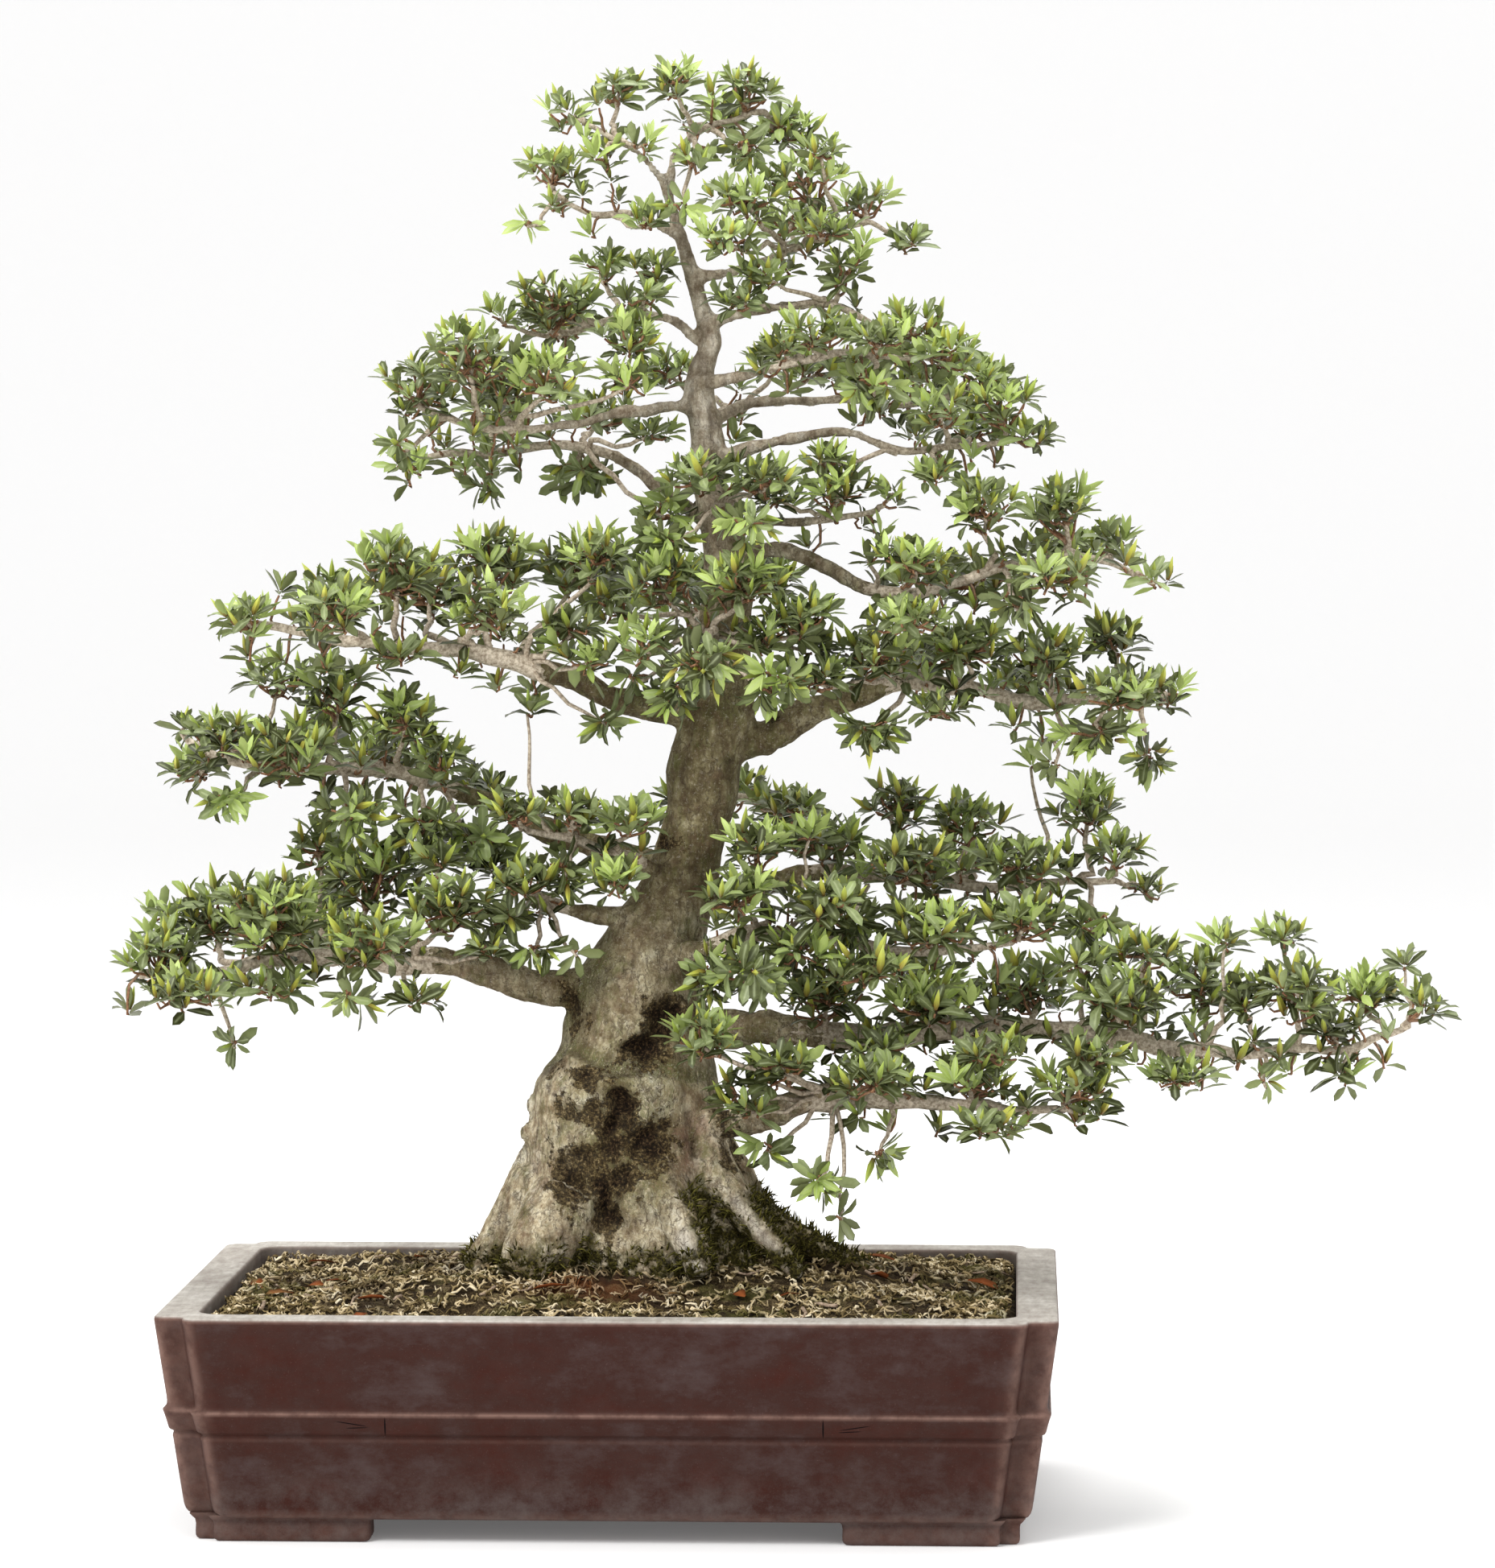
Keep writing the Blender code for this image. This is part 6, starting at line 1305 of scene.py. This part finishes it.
def leafFinish():
    # blue-grey green old leaves with a pale sheen to yellow-green young ones by tone, a lighter rib,
    # a paler underside and yellow buds with a brown foot
    finish, tree, shader = newFinish("foliage", 0.42, 0.3)
    mottle, face, reach = speckle(placeOf(tree), 260, 3), mark(tree, "face"), mark(tree, "reach")
    tone = mark(tree, "tone") + levels(mottle, 0.3, 0.7, -0.06, 0.06)
    green = colourSteps(tone, [(0.0, (0.034, 0.039, 0.009)), (0.16, (0.088, 0.106, 0.032)),
                               (0.34, (0.225, 0.272, 0.115)), (0.48, (0.275, 0.350, 0.108)),
                               (0.68, (0.340, 0.440, 0.100)), (1.0, (0.500, 0.610, 0.200))])
    rib = combine("POWER", levels(face, 0.25, 0.0), 2.0)
    green = blendColours(rib * 0.45, green, (0.50, 0.56, 0.32))
    under = blendColours(0.4, green, (0.30, 0.34, 0.14))
    green = blendColours(levels(face, 0.5, 0.6), green, under)
    yellow = colourSteps(reach, [(0.0, (0.13, 0.06, 0.022)), (0.25, (0.30, 0.235, 0.045)),
                                 (0.6, (0.50, 0.50, 0.075)), (1.0, (0.50, 0.56, 0.14))])
    lime = colourSteps(reach, [(0.0, (0.10, 0.055, 0.02)), (0.3, (0.20, 0.26, 0.04)),
                               (1.0, (0.38, 0.50, 0.10))])
    bud = blendColours(mark(tree, "tone"), yellow, lime)
    paint(shader, blendColours(mark(tree, "bud"), green, bud))
    roughen(shader, mottle, 0.15, 0.0006)
    return finish


def twigFinish():
    # red-brown young twigs that turn grey-beige with age
    finish, tree, shader = newFinish("twigs", 0.75, 0.25)
    grain = speckle(placeOf(tree), 500)
    young = colourSteps(grain, [(0.35, (0.12, 0.050, 0.026)), (0.65, (0.34, 0.18, 0.090))])
    old = colourSteps(grain, [(0.35, (0.25, 0.195, 0.135)), (0.65, (0.64, 0.56, 0.44))])
    paint(shader, blendColours(levels(mark(tree, "age"), 0.3, 0.8), young, old))
    roughen(shader, grain, 0.5, 0.0006)
    return finish


def makeFoliage():
    # the sprays share one list of rosettes, so that none stands too close to another
    draw = np.random.default_rng(foliage["seed"])
    taken = {"spots": np.full((6000, 3), 99.0), "count": 0}
    finishes = (leafFinish(), twigFinish())
    counts = np.array([makeSpray(name, taken, draw, *finishes) for name in limbs])
    print("foliage: rosettes, leaf triangles, wood triangles", counts.sum(axis=0), "most", counts.max(axis=0))


# Soil, sphagnum and moss

bedding = {
    # heights and thicknesses in centimetres
    "soilEdge": 11.45, "soilCrown": 13.45, "soilSwell": 1.5, "soilFloor": 2.56, "holeDepth": 3.0,
    "gap": 0.03, "thickness": 0.27, "ripple": 0.24, "tuft": 0.30, "rootHeap": 0.7,
    "columns": 360, "rows": 38,
    "strands": 4700, "strandLength": 0.0125, "strandRadius": 0.00070, "strandSteps": 5,
    "sprigs": 2600, "sprigHeight": 0.0072, "sprigHeights": (13.6, 19.4),
    "twigs": 46, "fallen": 12,
    "fallenPlaces": [(-17.4, 8.6), (-12.5, 9.2), (15.6, 3.4), (14.2, -0.8), (-2.6, -7.6), (7.4, -8.4)],
    "rustPlace": (-1.4, -6.9), "rustSize": (3.4, 1.5),  # where bark crumbs lie under the groove
    "seed": 11,
}
# Colours from dark to light for each kind of moss and litter.
tints = {
    # the bed under the strands: dead moss, kept dark also as painted shade between the strands
    "dead": [(0.40, (0.010, 0.007, 0.004)), (0.5, (0.060, 0.040, 0.019)), (0.62, (0.28, 0.21, 0.11))],
    "straw": [(0.0, (0.025, 0.017, 0.008)), (0.3, (0.12, 0.085, 0.034)), (0.5, (0.38, 0.285, 0.140)),
              (0.72, (0.76, 0.62, 0.39)), (1.0, (0.95, 0.87, 0.66))],
    "green": [(0.0, (0.014, 0.011, 0.003)), (0.5, (0.052, 0.047, 0.010)), (0.8, (0.15, 0.135, 0.030)),
              (1.0, (0.36, 0.32, 0.090))],
    "brown": [(0.0, (0.11, 0.030, 0.012)), (0.45, (0.26, 0.075, 0.022)), (0.7, (0.20, 0.13, 0.05)),
              (1.0, (0.085, 0.13, 0.05))],
}


def soilOutlines(angle):
    # the inner wall and the trunk's foot along each compass line from the trunk's middle
    cx, cy, radius = trunkFoot()
    w, d = wallHalf() / cm - 0.06
    dx, dy = np.cos(angle), np.sin(angle)
    reachX = (w - np.sign(dx) * cx) / np.maximum(np.abs(dx), 1e-6)
    reachY = (d - np.sign(dy) * cy) / np.maximum(np.abs(dy), 1e-6)
    corner = (w + d - 1.2 - np.sign(dx) * cx - np.sign(dy) * cy) / (np.abs(dx) + np.abs(dy))
    reach = np.minimum(np.minimum(reachX, reachY), corner)
    way = np.stack([dx, dy], axis=1)
    return np.array([cx, cy]) + way * reach[:, None], np.array([cx, cy]) + way * radius * 0.8


def wallHalf():
    # half the width and half the depth inside the pot
    return np.array([pot["halfWidth"], pot["halfDepth"]]) - pot["rimWidth"]


def soilLevel(share):
    # the soil lies nearly flat at the wall (share 0) and rises ever faster towards the trunk (share 1)
    return bedding["soilEdge"] + (bedding["soilCrown"] - bedding["soilEdge"]) * share ** bedding["soilSwell"]


def bedHeight(points, share):
    # the soil's level and a heap along the right root, plus the sphagnum's thickness, lumps and
    # tufts, in centimetres
    rootLine = [row[:2] for row in rootRidges["rightMossy"]]
    heap = bedding["rootHeap"] * bell(distanceToLine(points[:, 0], points[:, 1], rootLine), 1.7)
    flat = levelRing(points * cm, 0)
    lumps = latticeNoise(flat, 0.030, 51, 2) * bedding["ripple"]
    tufts = np.abs(latticeNoise(flat, 0.009, 52, 3)) * bedding["tuft"]
    return soilLevel(share) + heap + bedding["thickness"] + lumps + tufts


def shareOf(points):
    # how far each place lies from the wall (0) to the trunk (1), along its compass line
    cx, cy, _ = trunkFoot()
    wall, foot = soilOutlines(np.arctan2(points[:, 1] - cy, points[:, 0] - cx))
    return np.clip(np.linalg.norm(points - wall, axis=1) / np.linalg.norm(foot - wall, axis=1), 0, 1)


def mossBed():
    # rings from the trunk out along the underside, up at the wall and back over the top
    angle = np.linspace(0, 2 * math.pi, bedding["columns"], endpoint=False)
    wall, foot = soilOutlines(angle)
    rings = [levelRing(wall + (foot - wall) * share, soilLevel(share) + bedding["gap"])
             for share in np.linspace(1, 0, 5)]
    for share in np.linspace(0, 1, bedding["rows"]) ** 0.9:
        flat = wall + (foot - wall) * share
        edge = 0.5 + 0.5 * min(share / 0.03, 1)  # thinner where it meets the wall
        level = soilLevel(share)
        rings.append(levelRing(flat, level + (bedHeight(flat, np.full(len(flat), share)) - level) * edge))
    return np.vstack(rings) * cm, [gridFaces(len(rings), len(angle), aroundRows=True, aroundColumns=True)]


def soilBody():
    # rings from the middle of the pot's floor out to the wall, up, and over the top to the trunk's
    # hollow, with a flat face closing each end
    wall, foot = soilOutlines(np.linspace(0, 2 * math.pi, bedding["columns"] // 4, endpoint=False))
    rows = [(foot, bedding["soilFloor"]), (wall * 0.975, bedding["soilFloor"]), (wall, soilLevel(0))]
    rows += [(wall + (foot - wall) * share, soilLevel(share)) for share in np.linspace(0, 1, 9)[1:]]
    rows.append((foot, bedding["soilCrown"] - bedding["holeDepth"]))
    points, faces = stackedRings([levelRing(flat, z) for flat, z in rows])
    return points * cm, faces


def scatter(count, draw):
    # places inside the pot's wall and outside the trunk's foot, in centimetres
    spots = draw.uniform(-1, 1, (count * 4, 2)) * (wallHalf() / cm)
    cx, cy, radius = trunkFoot()
    wall, _ = soilOutlines(np.arctan2(spots[:, 1] - cy, spots[:, 0] - cx))
    fromTrunk = np.hypot(spots[:, 0] - cx, spots[:, 1] - cy)
    inside = (fromTrunk < np.hypot(wall[:, 0] - cx, wall[:, 1] - cy) - 0.35) & (fromTrunk > radius * 0.85)
    return spots[inside][:count]


def strandPaths(spots, draw, steps, longest):
    # each strand wanders over the bed: its heading turns steadily, and it rises and dips in waves
    count = len(spots)
    length = longest * draw.uniform(0.4, 1.3, (count, 1))
    t = np.linspace(0, 1, steps)[None]
    heading = draw.uniform(0, 2 * math.pi, (count, 1)) + draw.normal(size=(count, 1)) * 2.8 * t
    heading = heading + 0.6 * np.sin(t * 9 + draw.uniform(0, 6, (count, 1)))
    run = np.cumsum(np.stack([np.cos(heading), np.sin(heading)], axis=-1), axis=1) * length[..., None] / steps
    flat = (spots[:, None] * cm + run - run.mean(axis=1, keepdims=True)).reshape(-1, 2)
    limit = wallHalf() - 0.0012
    flat = np.clip(flat, -limit, limit)
    ground = bedHeight(flat / cm, shareOf(flat / cm)) * cm
    wave = np.abs(np.sin(t * draw.uniform(2, 6, (count, 1)) + draw.uniform(0, 6, (count, 1))))
    wave = 0.0006 + 0.0026 * wave
    return np.column_stack([flat, ground + wave.ravel()]).reshape(count, steps, 3)


def rustShare(points):
    # 1 in the middle of the crumbs of bark, falling off to 0 around them
    apart = (points[:, :2] / cm - bedding["rustPlace"]) / bedding["rustSize"]
    return np.exp(-np.sum(apart**2, axis=1))


def sphagnumStrands(draw):
    # curls of dead moss that lie in drifts, thick where a noise is high, and thin between
    steps = bedding["strandSteps"]
    spots = scatter(int(bedding["strands"] * 1.45), draw)
    drift = latticeNoise(levelRing(spots * cm, 0), 0.022, 61, 3)
    spots = spots[np.argsort(-drift - draw.uniform(-0.9, 0.9, len(spots)))][:bedding["strands"]]
    paths = strandPaths(spots, draw, steps, bedding["strandLength"])
    swell = 0.35 + 0.75 * np.sin(math.pi * np.linspace(0, 1, steps)) ** 0.7
    radii = swell[None] * draw.uniform(0.6, 1.6, (len(paths), 1)) * bedding["strandRadius"]
    points, faces = sweptTubes(paths, radii, 3)
    tone = np.repeat(draw.uniform(size=len(paths)), steps * 3)
    return points, faces, {"tone": tone, "rust": rustShare(points)}


def mossSprigs(surface, draw):
    # short spikes that grow out and up from the mossy places low on the trunk
    places, normals, moss = surface
    lowest, highest = np.array(bedding["sprigHeights"]) * cm
    mossy = np.flatnonzero((moss > 0.45) & (places[:, 2] < highest) & (places[:, 2] > lowest)
                           & (normals[:, 2] > -0.5))
    chosen = mossy[draw.integers(0, len(mossy), bedding["sprigs"])]
    foot = places[chosen] - normals[chosen] * 0.0008
    way = unit(normals[chosen] * 0.55 + draw.normal(size=(len(foot), 3)) * 0.35 + (0, 0, 0.55))
    tall = bedding["sprigHeight"] * draw.uniform(0.3, 1.15, len(foot))
    paths = foot[:, None] + way[:, None] * (np.array([0, 0.5, 1.0])[None] * tall[:, None])[..., None]
    paths[:, 2, 2] -= tall * 0.15
    points, faces = sweptTubes(paths, np.array([0.00062, 0.00046, 0.0001])[None] * np.ones((len(foot), 1)), 3)
    return points, faces, {"tone": np.repeat(draw.uniform(size=len(foot)), 9), "rust": np.zeros(len(points))}


def litterTwigs(draw):
    # short dead twigs lying on the moss, each a row of places along one heading with a little stray
    spots = scatter(bedding["twigs"], draw)
    count, length = len(spots), draw.uniform(0.008, 0.030, len(spots))
    turn = draw.uniform(0, 2 * math.pi, count)
    along = np.linspace(-0.5, 0.5, 4)[None] * length[:, None]
    flat = spots[:, None] * cm + np.stack([np.cos(turn), np.sin(turn)], axis=1)[:, None] * along[..., None]
    flat += draw.normal(size=flat.shape) * 0.0008
    limit = wallHalf() - 0.003
    flat = np.clip(flat.reshape(-1, 2), -limit, limit)
    ground = bedHeight(flat / cm, shareOf(flat / cm)) * cm + 0.0022
    radii = draw.uniform(0.0006, 0.0013, (count, 1)) * np.array([1, 1, 0.9, 0.7])[None]
    points, faces = sweptTubes(np.column_stack([flat, ground]).reshape(count, 4, 3), radii, 5)
    return buildMesh("litterTwigs", points + potMiddle, faces, {"age": np.full(len(points), 0.55)})


def fallenLeaves(draw):
    # old leaves that lie on the moss, some brown and some still green
    spots = np.vstack([bedding["fallenPlaces"], scatter(bedding["fallen"], draw)])
    count = len(spots)
    base = np.column_stack([spots * cm, bedHeight(spots, shareOf(spots)) * cm + 0.0042])
    turn = draw.uniform(0, 2 * math.pi, count)
    along = unit(np.column_stack([np.cos(turn), np.sin(turn), draw.uniform(-0.05, 0.3, count)]))
    side = np.column_stack([np.sin(turn), -np.cos(turn), draw.normal(size=count) * 0.25])
    upper = unit(np.cross(along, side))
    upper *= np.sign(upper[:, 2:])
    length, width = (np.array([0.017, 0.0066]) * draw.uniform(0.85, 1.25, (count, 1))).T
    points, faces, marks = growLeaves(base, along, upper, length, width, draw.uniform(0.2, 1.0, count),
                                      draw.uniform(size=count), np.zeros(count))
    return buildMesh("fallenLeaves", points + potMiddle, faces, {"tone": marks["tone"], "rust": marks["bud"]})


def bedFinish(name, stops):
    # dried moss under the strands, dark partly as dead moss and partly as painted shade between them: its
    # colour steps through the stops with a blotchy noise, and green, dark damp and rust drifts over it
    finish, tree, shader = newFinish(name, 0.95, 0.1)
    place = placeOf(tree)
    blotch, fine = speckle(place, 60, 5, 0.7), speckle(place, 900, 3, 0.7)
    paint(shader, mossDrifts(place, colourSteps(blotch * 0.6 + fine * 0.4, stops)))
    roughen(shader, fine, 0.9, 0.002)
    return finish


def mossDrifts(place, colour):
    # green patches and dark damp patches by noise, and rust where the bark crumbs lie
    colour = blendColours(levels(speckle(place, 30), 0.53, 0.62, 0, 0.6), colour, (0.085, 0.085, 0.02))
    colour = blendColours(levels(speckle(place, 19), 0.5, 0.64, 0, 0.62), colour, (0.045, 0.028, 0.018))
    return blendColours(mark(place.tree, "rust") * 0.8, colour, (0.13, 0.042, 0.014))


def strandFinish(name, stops, drifts=False):
    # each strand's own tone and a blotchy noise step through the stops
    finish, tree, shader = newFinish(name, 0.9, 0.06)
    place = placeOf(tree)
    blotch = levels(speckle(place, 55, 4, 0.65), 0.32, 0.68)
    colour = colourSteps(mark(tree, "tone") * 0.6 + blotch * 0.4, stops)
    paint(shader, mossDrifts(place, colour) if drifts else colour)
    return finish


def dressSoilNodes():
    # the soil under the moss, and the drain meshes' plastic, which keep their solids
    grit, tree, shader = newFinish("potting_soil", 0.95, 0.15)
    grains = addNode(tree, "ShaderNodeTexVoronoi", {"Vector": placeOf(tree), "Scale": 260.0}, "Color")
    paint(shader, colourSteps(grains, [(0.2, (0.10, 0.055, 0.03)), (0.6, (0.26, 0.16, 0.09)),
                                       (0.9, (0.36, 0.26, 0.17))]))
    roughen(shader, grains.beside("Distance"), 0.8, 0.003)
    plastic, tree, shader = newFinish("drain_plastic", 0.5, 0.4)
    weave = addNode(tree, "ShaderNodeTexChecker", {
        "Vector": placeOf(tree), "Scale": 420.0, "Color1": (0.012, 0.012, 0.012, 1),
        "Color2": (0.035, 0.035, 0.034, 1)}, "Color")
    paint(shader, weave)
    roughen(shader, weave.beside("Fac"), 0.5, 0.001)
    points, faces = soilBody()
    soil = buildMesh("soilBody", points + potMiddle, faces)
    soil.set_sharp_from_angle(angle=math.radians(40))
    addPiece("soil_body", soil, grit, ["soil"])
    for node in ("drain_mesh_left", "drain_mesh_right"):
        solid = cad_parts[node]
        solid.data.materials.clear()
        solid.data.materials.append(plastic)


def makeBedding(surface):
    # the moss and litter over the soil, and the soil itself
    draw = np.random.default_rng(bedding["seed"])
    points, faces = mossBed()
    bed = buildMesh("mossBed", points + potMiddle, faces, {"rust": rustShare(points)})
    dressing = ["sphagnum_dressing"]
    addPiece("sphagnum_bed", bed, bedFinish("sphagnum", tints["dead"]), dressing)
    points, faces, marks = sphagnumStrands(draw)
    addPiece("sphagnum_strands", buildMesh("sphagnumStrands", points + potMiddle, faces, marks),
             strandFinish("dry_sphagnum", tints["straw"], True), dressing)
    sprigs = buildMesh("hairMoss", *mossSprigs(surface, draw))
    addPiece("hair_moss", sprigs, strandFinish("live_moss", tints["green"]), dressing)
    addPiece("litter_twigs", litterTwigs(draw), twigFinish(), dressing)
    leaves = fallenLeaves(draw)
    addPiece("fallen_leaves", leaves, strandFinish("dead_leaves", tints["brown"]), dressing)
    dressSoilNodes()
    print("bedding:", len(bed.polygons), "faces of bed and", bedding["strands"], "strands")


makeCamera()
lightWorld()
for lampName in ("key", "fill", "top"):
    makeLamp(lampName)
makeFloor()
makePot()
barkSurface = makeTrunk()
makeFoliage()
makeBedding(barkSurface)
